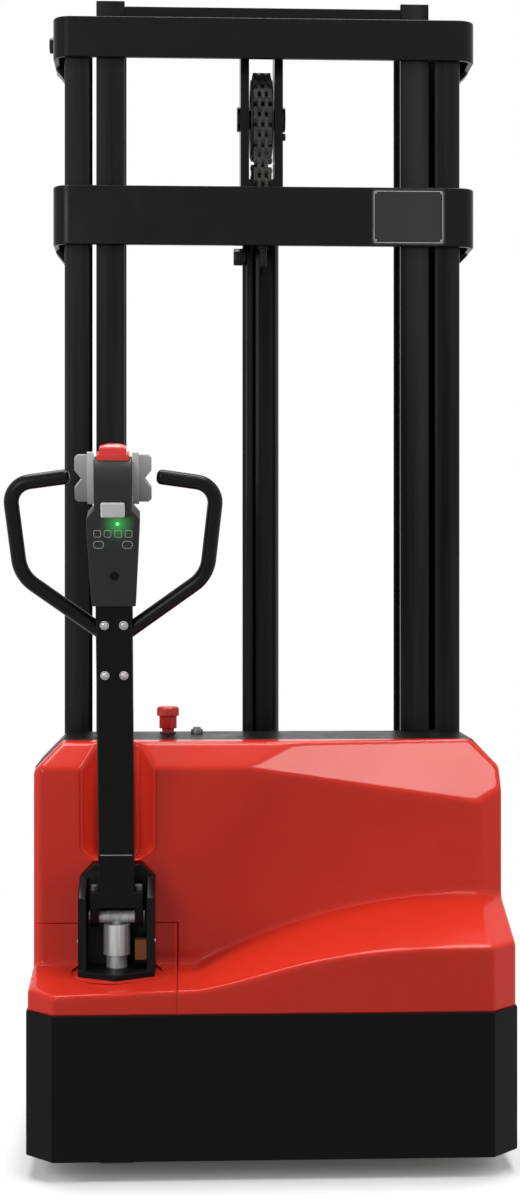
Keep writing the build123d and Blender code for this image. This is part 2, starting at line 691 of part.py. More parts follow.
def upper_tier(inset, bottom, back):
    """Upper tier of the cover, cut from a slab by its bevels, corner cuts and slanted facet."""
    side = cover_half - inset
    tier = block((-side, side), (COVER_FACE + inset, back), (bottom, deck_top - inset))
    shoulder = deck_top - SHOULDER_HEIGHT
    bevel_line = deck_top - COVER_TOP_BEVEL
    right_edge = cover_half - COVER_RIGHT_CUT
    along_facet = Vector(right_edge - FACET_START, 0, -FACET_DROP)
    up_facet = Vector(0, FACET_DEPTH, COVER_TOP_BEVEL + FACET_DROP)
    cuts = [
        Plane((-cover_half, 0, shoulder), z_dir=(-SHOULDER_HEIGHT, 0, SHOULDER_WIDTH)),
        Plane((cover_half, 0, shoulder), z_dir=(SHOULDER_HEIGHT, 0, SHOULDER_WIDTH)),
        Plane((0, COVER_FACE, bevel_line), z_dir=(0, -1, 1)),
        Plane((-cover_half + COVER_LEFT_CUT, COVER_FACE, 0), z_dir=(-1, -1, 0)),
        Plane((right_edge, COVER_FACE, 0), z_dir=(COVER_RIGHT_CUT_DEPTH, -COVER_RIGHT_CUT, 0)),
        Plane((FACET_START, COVER_FACE, bevel_line), z_dir=along_facet.cross(up_facet)),
    ]
    for cut in cuts:
        tier = split(tier, bisect_by=cut.offset(-inset), keep=Keep.BOTTOM)
    return tier


def tiller_recess(grow):
    """Channel in the cover's face in which the tiller stands, wider by grow on every side."""
    half = RECESS_WIDTH / 2
    floor_half = RECESS_FLOOR_WIDTH / 2
    flare = (half - floor_half) / RECESS_DEPTH
    shift = grow * (sqrt(1 + flare**2) - flare)
    mouth = half + shift + flare * (RECESS_DEPTH + grow)
    plan = [
        (tiller_offset - mouth, COVER_FACE - RECESS_DEPTH),
        (tiller_offset - floor_half - shift, COVER_FACE + RECESS_DEPTH + grow),
        (tiller_offset + floor_half + shift, COVER_FACE + RECESS_DEPTH + grow),
        (tiller_offset + mouth, COVER_FACE - RECESS_DEPTH),
    ]
    foot = recess_foot - grow
    wide = half + shift
    front = [
        (tiller_offset - wide, deck_top + RECESS_DEPTH),
        (tiller_offset - wide, foot + RECESS_FOOT_RISE),
        (tiller_offset - floor_half, foot),
        (tiller_offset + floor_half, foot),
        (tiller_offset + wide, foot + RECESS_FOOT_RISE),
        (tiller_offset + wide, deck_top + RECESS_DEPTH),
    ]
    depth = (COVER_FACE - RECESS_DEPTH, COVER_FACE + 2 * RECESS_DEPTH)
    return plan_prism(plan, (foot, deck_top + RECESS_DEPTH)) & front_prism(front, depth)


def seat_well(grow):
    """Round well in which the tiller seat turns, wider by grow on every side."""
    height = (seat_bottom - SEAT_WELL_DEPTH - grow, recess_foot - COVER_WALL + grow)
    return upright(tiller_offset, steer_place, height, seat_well_radius + grow)


def make_cover_shell():
    """Whole red cover as a thin shell, before the access panel is parted from it."""
    outside = lower_tier(0, skirt_top, COVER_BACK) + upper_tier(0, ledge_back_low, COVER_BACK)
    outside -= tiller_recess(0)
    outside -= seat_well(0)
    below = skirt_top - CUT_PAST
    behind = COVER_BACK + CUT_PAST
    inside = lower_tier(COVER_WALL, below, behind) + upper_tier(COVER_WALL, skirt_top, behind)
    inside -= tiller_recess(COVER_WALL)
    inside -= seat_well(COVER_WALL)
    stem_hole = (below, seat_bottom)
    shell = outside - inside
    return shell - upright(tiller_offset, steer_place, stem_hole, STEM_DIAMETER / 2 + STEM_CLEARANCE)


def panel_region(grow):
    return block(
        (-half_width - CUT_PAST, panel_side + grow),
        (-CUT_PAST, COVER_BACK + CUT_PAST),
        (skirt_top - CUT_PAST, panel_top + grow),
    )


# Mast
def column_section(face, lip):
    """Plan of a channel column that opens towards the centre plane, on the right."""
    web = face - COLUMN_WALL
    back = mast_back + COLUMN_WALL
    front = mast_front - COLUMN_WALL
    return [
        (lip, mast_back),
        (face, mast_back),
        (face, mast_front),
        (lip, mast_front),
        (lip, front),
        (web, front),
        (web, back),
        (lip, back),
    ]


def make_outer_column():
    return plan_prism(column_section(outer_face, outer_lip), (BEAM_TOP, outer_column_top))


def roller_stub(root, roller, height):
    """Welded stub with its collar, from the face at root through a roller between its two ends."""
    start, end = roller
    collar = crossbar((root, start - FACE_CLEARANCE), roller_line, height, ROLLER_COLLAR_DIAMETER / 2)
    return collar + crossbar((root, end + ROLLER_PIN_PROUD), roller_line, height, ROLLER_PIN_DIAMETER / 2)


def make_inner_column():
    column = plan_prism(column_section(inner_face, inner_lip), (inner_column_bottom, mast_height))
    for height in (MAST_ROLLER_LOW, MAST_ROLLER_LOW + MAST_ROLLER_STEP):
        column += roller_stub(inner_face, mast_roller, height)
    return column


def make_roller_pair(roller, height):
    """Two guide rollers on one line across the truck, the right one between the ends in roller."""
    start, end = roller
    bore = ROLLER_PIN_DIAMETER / 2 + RUNNING_CLEARANCE
    radius = roller_diameter / 2
    section = [
        (start, bore),
        (end, bore),
        (end, radius - ROLLER_EDGE),
        (end - ROLLER_EDGE, radius),
        (start + ROLLER_EDGE, radius),
        (start, radius - ROLLER_EDGE),
    ]
    right = Pos(0, roller_line, height) * turned(section)
    return Compound(children=[right, on_right(right)])


def make_band_beam(bottom, height):
    """Cross beam bent from flat bar round the outside of both columns, with its gussets."""
    inside = {-1: -outer_face - BAND_LEFT_STANDOFF, 1: outer_face + BAND_RIGHT_STANDOFF}
    outside = {side: inside[side] + side * BAND_THICK for side in (-1, 1)}
    front = mast_back - BAND_THICK
    rear = mast_back + BAND_REACH
    outer_path = FilletPolyline(
        (outside[-1], rear),
        (outside[-1], front),
        (outside[1], front),
        (outside[1], rear),
        radius=BAND_CORNER,
    )
    inner_path = FilletPolyline(
        (inside[1], rear),
        (inside[1], mast_back),
        (inside[-1], mast_back),
        (inside[-1], rear),
        radius=[BAND_RIGHT_STANDOFF, BAND_LEFT_STANDOFF],
    )
    ends = Line((outside[1], rear), (inside[1], rear)) + Line((inside[-1], rear), (outside[-1], rear))
    bar = make_face(outer_path + inner_path + ends)
    beam = extrude(Pos(0, 0, bottom) * bar, height, dir=(0, 0, 1))
    pad_start = mast_front - COLUMN_DEPTH / 3
    for side in (-1, 1):
        pad = sorted((side * outer_face, inside[side]))
        beam += block(pad, (pad_start, mast_front), (bottom, bottom + height))
        gusset = [
            (side * outer_face, bottom),
            (outside[side], bottom),
            (side * outer_face, bottom - GUSSET_DROP),
        ]
        beam += front_prism(gusset, (pad_start, mast_front))
    return beam


def make_inner_top_beam():
    height = (inner_beam_bottom, inner_beam_bottom + INNER_BEAM_HEIGHT)
    return block((-inner_lip, inner_lip), (mast_back, mast_front), height)


def make_inner_bottom_beam():
    """Tie across the feet of the inner columns, cranked forward to clear the cylinder."""
    bar = lift_line + cylinder_radius + CLAMP_WALL + INNER_TIE_CLEARANCE
    plan = [
        (-inner_face, mast_front),
        (-inner_lip, mast_front),
        (-inner_lip, bar),
        (inner_lip, bar),
        (inner_lip, mast_front),
        (inner_face, mast_front),
        (inner_face, bar + INNER_TIE_THICK),
        (-inner_face, bar + INNER_TIE_THICK),
    ]
    return plan_prism(plan, (inner_column_bottom, inner_column_bottom + INNER_TIE_HEIGHT))


# Lift cylinder, sheave and chain
def make_lift_cylinder():
    """Cylinder tube on its foot, with the gland screwed over its open end."""
    tube = upright(0, lift_line, (BEAM_TOP, cylinder_top), cylinder_radius)
    gland_bottom = cylinder_top - GLAND_LENGTH
    tube += upright(0, lift_line, (gland_bottom, cylinder_top), cylinder_radius + GLAND_WALL)
    bore = (PISTON_PLACE - PISTON_LENGTH / 2, gland_bottom)
    tube -= upright(0, lift_line, bore, CYLINDER_BORE / 2)
    gland_bore = (gland_bottom - CUT_PAST, cylinder_top + CUT_PAST)
    return tube - upright(0, lift_line, gland_bore, ROD_DIAMETER / 2 + RUNNING_CLEARANCE)


def make_piston_rod():
    rod = upright(0, lift_line, (PISTON_PLACE, frame_foot), ROD_DIAMETER / 2)
    return rod + upright(0, lift_line, (PISTON_PLACE, piston_top), CYLINDER_BORE / 2 - RUNNING_CLEARANCE)


def make_cylinder_clamp():
    """Bracket on the back of the second beam that clamps the cylinder."""
    height = (clamp_bottom, clamp_top)
    clamp = upright(0, lift_line, height, cylinder_radius + CLAMP_WALL)
    for side in (-1, 1):
        arm = sorted((side * clamp_arm_start, side * (clamp_arm_start + CLAMP_ARM)))
        clamp += block(arm, (mast_back, lift_line), height)
    through = (clamp_bottom - CUT_PAST, clamp_top + CUT_PAST)
    clamp -= upright(0, lift_line, through, cylinder_radius)
    return clamp - upright(PIPE_OFFSET, pipe_depth(), through, PIPE_DIAMETER / 2 + FACE_CLEARANCE)


def make_chain_anchor():
    """Block on the back of the second beam, between the clamp's arms, that pins the chain's fixed end."""
    top = rear_chain_end - chain_reach
    half = CHAIN_PLATE_HEIGHT / 2
    depth = (mast_back, rear_chain_line + half)
    anchor = block((-clamp_arm_start, clamp_arm_start), depth, (clamp_bottom, top))
    ear = (CHAIN_PLATE_THICK - SLIDING_CLEARANCE) / 2
    ear_depth = (rear_chain_line - half, rear_chain_line + half)
    for layer in (-1, 1):
        middle = layer * CHAIN_PLATE_THICK
        anchor += block((middle - ear, middle + ear), ear_depth, (top, rear_chain_end + half))
    return anchor


def chain_plate(layer):
    """One leaf plate of the chain, from pin to pin along +Z, with cut ends."""
    half = CHAIN_PLATE_HEIGHT / 2
    taper = half * 0.55
    points = [
        (-half, 0),
        (-taper, -chain_reach),
        (taper, -chain_reach),
        (half, 0),
        (half, CHAIN_PITCH),
        (taper, CHAIN_PITCH + chain_reach),
        (-taper, CHAIN_PITCH + chain_reach),
        (-half, CHAIN_PITCH),
    ]
    start = (layer - 2.5) * CHAIN_PLATE_THICK
    return side_prism(points, (start, start + CHAIN_PLATE_THICK))


def chain_link(index):
    """Plates of one link: three plates on even links, two between them on odd links."""
    layers = (0, 2, 4) if index % 2 == 0 else (1, 3)
    return [chain_plate(layer) for layer in layers]


def make_chain_strand(line, end, links, first_index):
    """Straight run of chain between its lower end and the sheave."""
    plates = []
    for number in range(links):
        lift = Pos(0, line, end + number * CHAIN_PITCH)
        plates += [lift * plate for plate in chain_link(first_index + number)]
    return Part() + plates


def make_chain_wrap():
    """Half turn of chain over the sheave."""
    step = 180 / CHAIN_WRAP_LINKS
    plates = []
    for number in range(CHAIN_WRAP_LINKS):
        turn = Pos(0, lift_line, sheave_height) * Rot(-number * step, 0, 0) * Pos(0, -chain_radius, 0)
        lean = turn * Rot(-step / 2, 0, 0)
        plates += [lean * plate for plate in chain_link(rear_links + number)]
    return Part() + plates


def make_chain_sheave():
    bore = SHEAVE_AXLE_DIAMETER / 2 + RUNNING_CLEARANCE
    tread = chain_inside - SLIDING_CLEARANCE
    rim = tread + SHEAVE_FLANGE_RIM
    tread_half = sheave_half - SHEAVE_FLANGE_THICK
    web_half = tread_half / 2
    hub = bore + SHEAVE_HUB_WALL
    rim_inside = tread - SHEAVE_RIM_WALL
    section = [
        (-sheave_half, bore),
        (sheave_half, bore),
        (sheave_half, hub),
        (web_half, hub),
        (web_half, rim_inside),
        (sheave_half, rim_inside),
        (sheave_half, rim),
        (tread_half, rim),
        (tread_half, tread),
        (-tread_half, tread),
        (-tread_half, rim),
        (-sheave_half, rim),
        (-sheave_half, rim_inside),
        (-web_half, rim_inside),
        (-web_half, hub),
        (-sheave_half, hub),
    ]
    return Pos(0, lift_line, sheave_height) * turned(section)


def make_sheave_frame():
    """Rectangular frame that hangs under the inner mast's top beam and stands on the rod."""
    top = inner_beam_bottom
    depth = (lift_line - FRAME_DEPTH / 2, lift_line + FRAME_DEPTH / 2)
    frame = block((-frame_outside, frame_outside), depth, (frame_foot, top))
    frame -= block(
        (-frame_inside, frame_inside),
        (depth[0] - CUT_PAST, depth[1] + CUT_PAST),
        (frame_foot + FRAME_FOOT_THICK, top + CUT_PAST),
    )
    bore = (-frame_outside - CUT_PAST, frame_outside + CUT_PAST)
    return frame - crossbar(bore, lift_line, sheave_height, SHEAVE_AXLE_DIAMETER / 2)


def make_sheave_axle():
    axle = crossbar((-frame_outside, frame_outside), lift_line, sheave_height, SHEAVE_AXLE_DIAMETER / 2)
    for side in (-1, 1):
        head = sorted((side * frame_outside, side * (frame_outside + AXLE_HEAD_LENGTH)))
        axle += crossbar(head, lift_line, sheave_height, AXLE_HEAD_DIAMETER / 2)
    return axle


def pipe_depth():
    """Y of the pipe, in front of the cylinder as the operator sees it."""
    gap = cylinder_radius + PIPE_DIAMETER / 2 + PIPE_GAP
    return lift_line - sqrt(gap**2 - PIPE_OFFSET**2)


def make_return_pipe():
    """Pipe from a port high on the cylinder down to the power unit behind the bulkhead."""
    line = pipe_depth()
    top = second_beam_bottom + PIPE_LAP
    path = FilletPolyline(
        (PIPE_OFFSET, pipe_port_depth, PIPE_INLET_HEIGHT),
        (PIPE_OFFSET, line, PIPE_INLET_HEIGHT),
        (PIPE_OFFSET, line, top),
        radius=PIPE_BEND,
    )
    start = Plane((PIPE_OFFSET, pipe_port_depth, PIPE_INLET_HEIGHT), z_dir=(0, 1, 0))
    pipe = sweep(start * Circle(PIPE_DIAMETER / 2), path=path)
    nut = PIPE_DIAMETER / 2 + PIPE_NUT
    fitting = block((PIPE_OFFSET - nut, 0), (line - nut, lift_line), (top - nut, top + nut))
    fitting -= upright(0, lift_line, (top - PIPE_LAP, top + PIPE_LAP), cylinder_radius)
    return pipe + fitting


# Fork carriage
def make_carriage_frame():
    """Fork carriage: face plate with a window, cheeks between the columns, stubs and chain lug."""
    face = (fork_start - CARRIAGE_PLATE, fork_start)
    frame = block((-carriage_half, carriage_half), face, (fork_bottom, CARRIAGE_TOP))
    below = fork_bottom - CUT_PAST
    through = (face[0] - CUT_PAST, face[1] + CUT_PAST)
    window = fork_middle - FORK_WIDTH / 2
    frame -= block((-window, window), through, carriage_window)
    for side in (-1, 1):
        middle = side * fork_middle
        reach = FORK_WIDTH / 2 - FORK_PLATE
        frame -= block((middle - reach, middle + reach), through, (below, fork_top - FORK_PLATE))
    frame -= block((-window, window), through, (below, carriage_cheek_bottom))
    for side in (-1, 1):
        cheek = sorted((side * carriage_cheek_face, side * (carriage_cheek_face - CARRIAGE_CHEEK)))
        side_view = [
            (roller_line - ROLLER_COLLAR_DIAMETER, carriage_cheek_bottom),
            (face[0], carriage_cheek_bottom),
            (face[0], CARRIAGE_CHEEK_TOP),
            (roller_line - ROLLER_COLLAR_DIAMETER, CARRIAGE_CHEEK_TOP),
        ]
        frame += side_prism(side_view, cheek)
    for height in (CARRIAGE_ROLLER_LOW, CARRIAGE_ROLLER_LOW + CARRIAGE_ROLLER_STEP):
        stub = roller_stub(carriage_cheek_face, carriage_roller, height)
        frame += stub
        frame += on_right(stub)
    lug_top = front_chain_end - chain_reach
    lug = (front_chain_line - CHAIN_PLATE_HEIGHT / 2, face[0])
    return frame + block((-chain_width / 2, chain_width / 2), lug, (lug_top - CHAIN_LUG_HEIGHT, lug_top))


def make_fork(side):
    """One fork: a channel that closes over the leg, with a tapered toe."""
    middle = side * fork_middle
    taper = fork_tip - FORK_TIP_TAPER

    def profile(start, inset):
        end = fork_tip - inset
        low = fork_bottom - (CUT_PAST if inset else 0)
        return [
            (start, low),
            (taper, low),
            (end, fork_top - FORK_DEPTH / 2 - FORK_TIP_HEIGHT / 2),
            (end, fork_top - FORK_DEPTH / 2 + FORK_TIP_HEIGHT / 2 - inset),
            (taper, fork_top - inset),
            (start, fork_top - inset),
        ]

    fork = side_prism(profile(fork_start, 0), (middle - FORK_WIDTH / 2, middle + FORK_WIDTH / 2))
    inside = FORK_WIDTH / 2 - FORK_PLATE
    hollow = side_prism(profile(fork_start - CUT_PAST, FORK_PLATE), (middle - inside, middle + inside))
    return fork - hollow


# Steering, drive wheel and caster
def yoke_cheek_start():
    return DRIVE_WHEEL_WIDTH / 2 + YOKE_SIDE_GAP


def make_drive_yoke():
    """Steered yoke: cheeks each side of the wheel with the axle, top plate, spigot and stem."""
    axle_height = DRIVE_WHEEL_DIAMETER / 2
    yoke = upright(0, 0, (yoke_plate_bottom, yoke_plate_top), YOKE_PLATE_RADIUS)
    spigot_radius = BEARING_BORE_DIAMETER / 2 - RUNNING_CLEARANCE
    yoke += upright(0, 0, (yoke_plate_top, chassis_plate_bottom - FACE_CLEARANCE), spigot_radius)
    yoke += upright(0, 0, (yoke_plate_top, seat_bottom), STEM_DIAMETER / 2)
    half = YOKE_CHEEK_WIDTH / 2
    cheek_view = [
        (-half, yoke_plate_bottom),
        (-half, axle_height),
        (-half / 2, axle_height - half * 0.8),
        (half / 2, axle_height - half * 0.8),
        (half, axle_height),
        (half, yoke_plate_bottom),
    ]
    start = yoke_cheek_start()
    for side in (-1, 1):
        yoke += side_prism(cheek_view, sorted((side * start, side * (start + YOKE_CHEEK))))
    yoke += crossbar((-start, start), 0, axle_height, DRIVE_AXLE_DIAMETER / 2)
    return Pos(tiller_offset, steer_place, 0) * yoke


def make_steering_bearing():
    bottom = yoke_plate_top + FACE_CLEARANCE
    top = chassis_plate_bottom
    ring = upright(tiller_offset, steer_place, (bottom, top), BEARING_OUTER_DIAMETER / 2)
    through = (bottom - CUT_PAST, top + CUT_PAST)
    return ring - upright(tiller_offset, steer_place, through, BEARING_BORE_DIAMETER / 2)


def make_drive_hub():
    """Hub motor of the drive wheel, with dished sides."""
    half = DRIVE_WHEEL_WIDTH / 2
    rim = DRIVE_WHEEL_DIAMETER / 2 - DRIVE_TYRE_THICK
    bore = DRIVE_AXLE_DIAMETER / 2 + RUNNING_CLEARANCE
    dish = 9.0
    boss = bore + 14
    section = [
        (-half, bore),
        (half, bore),
        (half, boss),
        (half - dish, boss + 5),
        (half - dish, rim - 14),
        (half - 2, rim - 9),
        (half - 2, rim),
        (-half + 2, rim),
        (-half + 2, rim - 9),
        (-half + dish, rim - 14),
        (-half + dish, boss + 5),
        (-half, boss),
    ]
    return Pos(tiller_offset, steer_place, DRIVE_WHEEL_DIAMETER / 2) * turned(section)


def make_drive_tyre():
    half = DRIVE_WHEEL_WIDTH / 2
    radius = DRIVE_WHEEL_DIAMETER / 2
    rim = radius - DRIVE_TYRE_THICK
    shoulder = 7.0
    section = [
        (-half, rim),
        (half, rim),
        (half, radius - shoulder),
        (half - shoulder, radius),
        (-half + shoulder, radius),
        (-half, radius - shoulder),
    ]
    return Pos(tiller_offset, steer_place, radius) * turned(section)


def caster_crown_top():
    return CASTER_DIAMETER + CASTER_CROWN_GAP + CASTER_CROWN


def make_caster_fork():
    """Swivel fork of the balance caster, with its kingpin and axle."""
    crown_bottom = CASTER_DIAMETER + CASTER_CROWN_GAP
    start = CASTER_WIDTH / 2 + CASTER_SIDE_GAP
    half = start + CASTER_CHEEK
    axle_height = CASTER_DIAMETER / 2
    crown = (-half, CASTER_TRAIL + 22)
    fork = block((-half, half), crown, (crown_bottom, caster_crown_top()))
    kingpin = (caster_crown_top(), chassis_plate_top)
    fork += upright(0, 0, kingpin, CASTER_PIN_DIAMETER / 2)
    cheek_view = [
        (-half, crown_bottom),
        (CASTER_TRAIL - 18, axle_height - 6),
        (CASTER_TRAIL - 8, axle_height - 18),
        (CASTER_TRAIL + 8, axle_height - 18),
        (CASTER_TRAIL + 18, axle_height - 6),
        (CASTER_TRAIL + 22, crown_bottom),
    ]
    for side in (-1, 1):
        fork += side_prism(cheek_view, sorted((side * start, side * half)))
    fork += crossbar((-start, start), CASTER_TRAIL, axle_height, CASTER_AXLE_DIAMETER / 2)
    return Pos(caster_offset, caster_place, 0) * fork


def make_caster_wheel():
    half = CASTER_WIDTH / 2
    radius = CASTER_DIAMETER / 2
    bore = CASTER_AXLE_DIAMETER / 2 + RUNNING_CLEARANCE
    hub = radius - 20
    section = [
        (-half, bore),
        (half, bore),
        (half, bore + 10),
        (half - 8, bore + 14),
        (half - 8, hub - 6),
        (half - 2, hub),
        (half - 2, radius - 6),
        (half - 8, radius),
        (-half + 8, radius),
        (-half + 2, radius - 6),
        (-half + 2, hub),
        (-half + 8, hub - 6),
        (-half + 8, bore + 14),
        (-half, bore + 10),
    ]
    return Pos(caster_offset, caster_place + CASTER_TRAIL, radius) * turned(section)


# Tiller seat, which turns with the steering
def make_tiller_seat():
    """Folded steel seat of the tiller: pointed foot plate, cheeks and an arched back."""
    inside = seat_half - SEAT_CHEEK
    foot = [
        (-seat_half, SEAT_HALF_DEPTH),
        (-seat_half, -SEAT_HALF_DEPTH),
        (0, -SEAT_PROW),
        (seat_half, -SEAT_HALF_DEPTH),
        (seat_half, SEAT_HALF_DEPTH),
    ]
    seat = plan_prism(foot, (seat_bottom, seat_plate_top))
    cheek_view = [
        (-SEAT_HALF_DEPTH, seat_plate_top),
        (-SEAT_HALF_DEPTH, seat_front_top),
        (SEAT_HALF_DEPTH - SEAT_BACK, seat_top - SEAT_TOP_CUT),
        (SEAT_HALF_DEPTH, seat_top - SEAT_TOP_CUT),
        (SEAT_HALF_DEPTH, seat_plate_top),
    ]
    for side in (-1, 1):
        seat += side_prism(cheek_view, sorted((side * inside, side * seat_half)))
    arch = [
        (-seat_half, seat_plate_top),
        (-seat_half, seat_top - SEAT_TOP_CUT),
        (-seat_half + SEAT_TOP_CUT, seat_top),
        (seat_half - SEAT_TOP_CUT, seat_top),
        (seat_half, seat_top - SEAT_TOP_CUT),
        (seat_half, seat_plate_top),
    ]
    seat += front_prism(arch, (SEAT_HALF_DEPTH - SEAT_BACK, SEAT_HALF_DEPTH))
    return Pos(tiller_offset, steer_place, 0) * seat


def make_steering_post():
    """Stepped post with the cross sleeve that carries the tiller's pivot pin."""
    post = upright(0, 0, (seat_plate_top, post_step), POST_FOOT_DIAMETER / 2)
    post += upright(0, 0, (post_step, post_top), POST_DIAMETER / 2)
    post += upright(0, 0, (post_top, pivot_height), POST_NECK_DIAMETER / 2)
    half = PIVOT_SLEEVE_LENGTH / 2
    post += crossbar((-half, half), 0, pivot_height, PIVOT_SLEEVE_DIAMETER / 2)
    bore = PIVOT_PIN_DIAMETER / 2 + RUNNING_CLEARANCE
    post -= crossbar((-half - CUT_PAST, half + CUT_PAST), 0, pivot_height, bore)
    return Pos(tiller_offset, steer_place, 0) * post


def make_brake_switch():
    """Switch block on the seat's right cheek, which the tiller's position works."""
    face = seat_half - SEAT_CHEEK
    half = SWITCH_DEPTH / 2
    bottom = seat_plate_top + SWITCH_RISE
    switch = block((face - SWITCH_WIDTH, face), (-half, half), (bottom, bottom + SWITCH_HEIGHT))
    return Pos(tiller_offset, steer_place, 0) * switch


# Tiller: modelled upright about its pivot, then leaned towards the operator
tiller_place = Pos(tiller_offset, steer_place, pivot_height) * Rot(TILLER_LEAN, 0, 0)


def handle_tube(radius):
    """Bent tube of both hand grips, which runs through the arm."""
    elbow = HANDLE_HALF_WIDTH - HANDLE_ELBOW_INSET
    end_height = barrel_height + HANDLE_END_RISE
    path = FilletPolyline(
        (-handle_end, 0, end_height),
        (-HANDLE_HALF_WIDTH, 0, handle_grip),
        (-elbow, 0, handle_elbow),
        (0, 0, handle_vee),
        (elbow, 0, handle_elbow),
        (HANDLE_HALF_WIDTH, 0, handle_grip),
        (handle_end, 0, end_height),
        radius=[
            HANDLE_GRIP_BEND,
            HANDLE_ELBOW_BEND,
            HANDLE_VEE_BEND,
            HANDLE_ELBOW_BEND,
            HANDLE_GRIP_BEND,
        ],
    )
    return sweep(Plane(path @ 0, z_dir=path % 0) * Circle(radius), path=path)


def make_handlebar():
    return tiller_place * handle_tube(HANDLE_DIAMETER / 2)


def make_tiller_arm():
    half = ARM_WIDTH / 2
    depth = ARM_DEPTH / 2
    arm = block((-half, half), (-depth, depth), (ARM_START, arm_end))
    arm = fillet(arm.edges().filter_by(Axis.Z), ARM_DEPTH / 8)
    arm -= block(
        (-half + ARM_WALL, half - ARM_WALL),
        (-depth + ARM_WALL, depth - ARM_WALL),
        (ARM_START - CUT_PAST, arm_end + CUT_PAST),
    )
    return tiller_place * (arm - handle_tube(HANDLE_DIAMETER / 2))


def make_tiller_yoke():
    """Lower bracket of the tiller: a block under the arm with an ear each side of the sleeve."""
    half = ARM_WIDTH / 2
    depth = ARM_DEPTH / 2
    yoke = block((-half, half), (-depth, depth), (yoke_block_start, ARM_START))
    yoke += block((-ear_end, ear_end), (-depth, depth), (yoke_block_start, yoke_block_end))
    for side in (-1, 1):
        ear = sorted((side * ear_start, side * ear_end))
        yoke += crossbar(ear, 0, 0, YOKE_EAR_RADIUS)
        neck = [
            (-YOKE_EAR_RADIUS, 0),
            (YOKE_EAR_RADIUS, 0),
            (depth, yoke_block_start),
            (-depth, yoke_block_start),
        ]
        yoke += side_prism(neck, ear)
    bore = (-ear_end - CUT_PAST, ear_end + CUT_PAST)
    return tiller_place * (yoke - crossbar(bore, 0, 0, PIVOT_PIN_DIAMETER / 2))


def make_pivot_pin():
    radius = PIVOT_PIN_DIAMETER / 2
    pin = crossbar((-ear_end, ear_end), 0, 0, radius)
    for side in (-1, 1):
        pin += crossbar(sorted((side * ear_end, side * pivot_pin_end)), 0, 0, radius + PIVOT_PIN_HEAD)
    return tiller_place * pin


def belly_block(clearance, foot, top):
    """Block of the belly switch, or its pocket when given a clearance."""
    half = BELLY_HALF + clearance
    depth = BELLY_DEPTH / 2 + clearance
    return block((-half, half), (-depth, depth), (foot, top))


def horn_block(clearance, front, back):
    half = HORN_HALF + clearance
    low = horn_low - clearance
    high = horn_low + HORN_HEIGHT + clearance
    return block((-half, half), (front, back), (low, high))


def make_head_housing():
    """Tiller head: a waisted body under the cross barrel that holds the throttle shaft."""
    widest = barrel_height - HEAD_WIDEST_DROP
    shoulder = barrel_height - HEAD_SHOULDER_DROP
    waist = barrel_height - HEAD_WAIST_DROP
    front_view = [
        (-HEAD_FOOT_HALF, arm_end),
        (HEAD_FOOT_HALF, arm_end),
        (HEAD_HALF, widest),
        (HEAD_HALF, shoulder),
        (BARREL_HALF, waist),
        (BARREL_HALF, barrel_height),
        (-BARREL_HALF, barrel_height),
        (-BARREL_HALF, waist),
        (-HEAD_HALF, shoulder),
        (-HEAD_HALF, widest),
    ]
    side_view = [
        (HEAD_FRONT_FOOT, arm_end),
        (ARM_DEPTH / 2 + HEAD_FOOT_LAP, arm_end),
        (HEAD_BACK, widest),
        (HEAD_BACK, barrel_height),
        (-BARREL_RADIUS, barrel_height),
        (HEAD_FRONT, waist),
        (HEAD_FRONT, barrel_height - HEAD_FACE_DROP),
    ]
    reach = 2 * BARREL_RADIUS
    head = front_prism(front_view, (-reach, reach)) & side_prism(side_view, (-reach, reach))
    head += crossbar((-BARREL_HALF, BARREL_HALF), 0, barrel_height, BARREL_RADIUS)
    shaft = THROTTLE_SHAFT_DIAMETER / 2 + RUNNING_CLEARANCE
    head -= crossbar((-reach, reach), 0, barrel_height, shaft)
    pocket_foot = belly_foot - BELLY_TRAVEL - FACE_CLEARANCE
    head -= belly_block(SLIDING_CLEARANCE, pocket_foot, belly_top)
    horn_back = HEAD_FRONT + HORN_THICK - HORN_PROUD + HORN_TRAVEL + FACE_CLEARANCE
    return tiller_place * (head - horn_block(SLIDING_CLEARANCE, HEAD_FRONT - reach, horn_back))


def knob_slice(x, reach):
    """Slice of a throttle knob between the two ends in x, lens-shaped in side view with blunt tips."""
    depth = KNOB_DEPTH / 2
    tip = reach + KNOB_TIP
    front = ThreePointArc((0, -tip), (-depth, 0), (0, tip))
    back = ThreePointArc((0, tip), (depth, 0), (0, -tip))
    lens = extrude(Plane.YZ.offset(x[0]) * make_face(front + back), x[1] - x[0], dir=(1, 0, 0))
    return lens & block(x, (-depth, depth), (-reach, reach))


def make_throttle_knobs():
    """Both throttle knobs on their common shaft: a collar and a notched wing on each side."""
    wing_view = [
        (knob_collar_end, -KNOB_WING_REACH),
        (knob_end - KNOB_CORNER, -KNOB_WING_REACH),
        (knob_end, -KNOB_WING_REACH + KNOB_CORNER),
        (knob_end, -KNOB_NOTCH_HALF),
        (knob_end - KNOB_NOTCH, 0),
        (knob_end, KNOB_NOTCH_HALF),
        (knob_end, KNOB_WING_REACH - KNOB_CORNER),
        (knob_end - KNOB_CORNER, KNOB_WING_REACH),
        (knob_collar_end, KNOB_WING_REACH),
    ]
    wing = knob_slice((knob_collar_end, knob_end), KNOB_WING_REACH)
    wing &= front_prism(wing_view, (-KNOB_DEPTH, KNOB_DEPTH))
    knob = wing + knob_slice((knob_start, knob_collar_end), KNOB_COLLAR_REACH)
    shaft = (-knob_collar_end, knob_collar_end)
    knobs = knob + on_right(knob) + crossbar(shaft, 0, 0, THROTTLE_SHAFT_DIAMETER / 2)
    return tiller_place * Pos(0, 0, barrel_height) * knobs


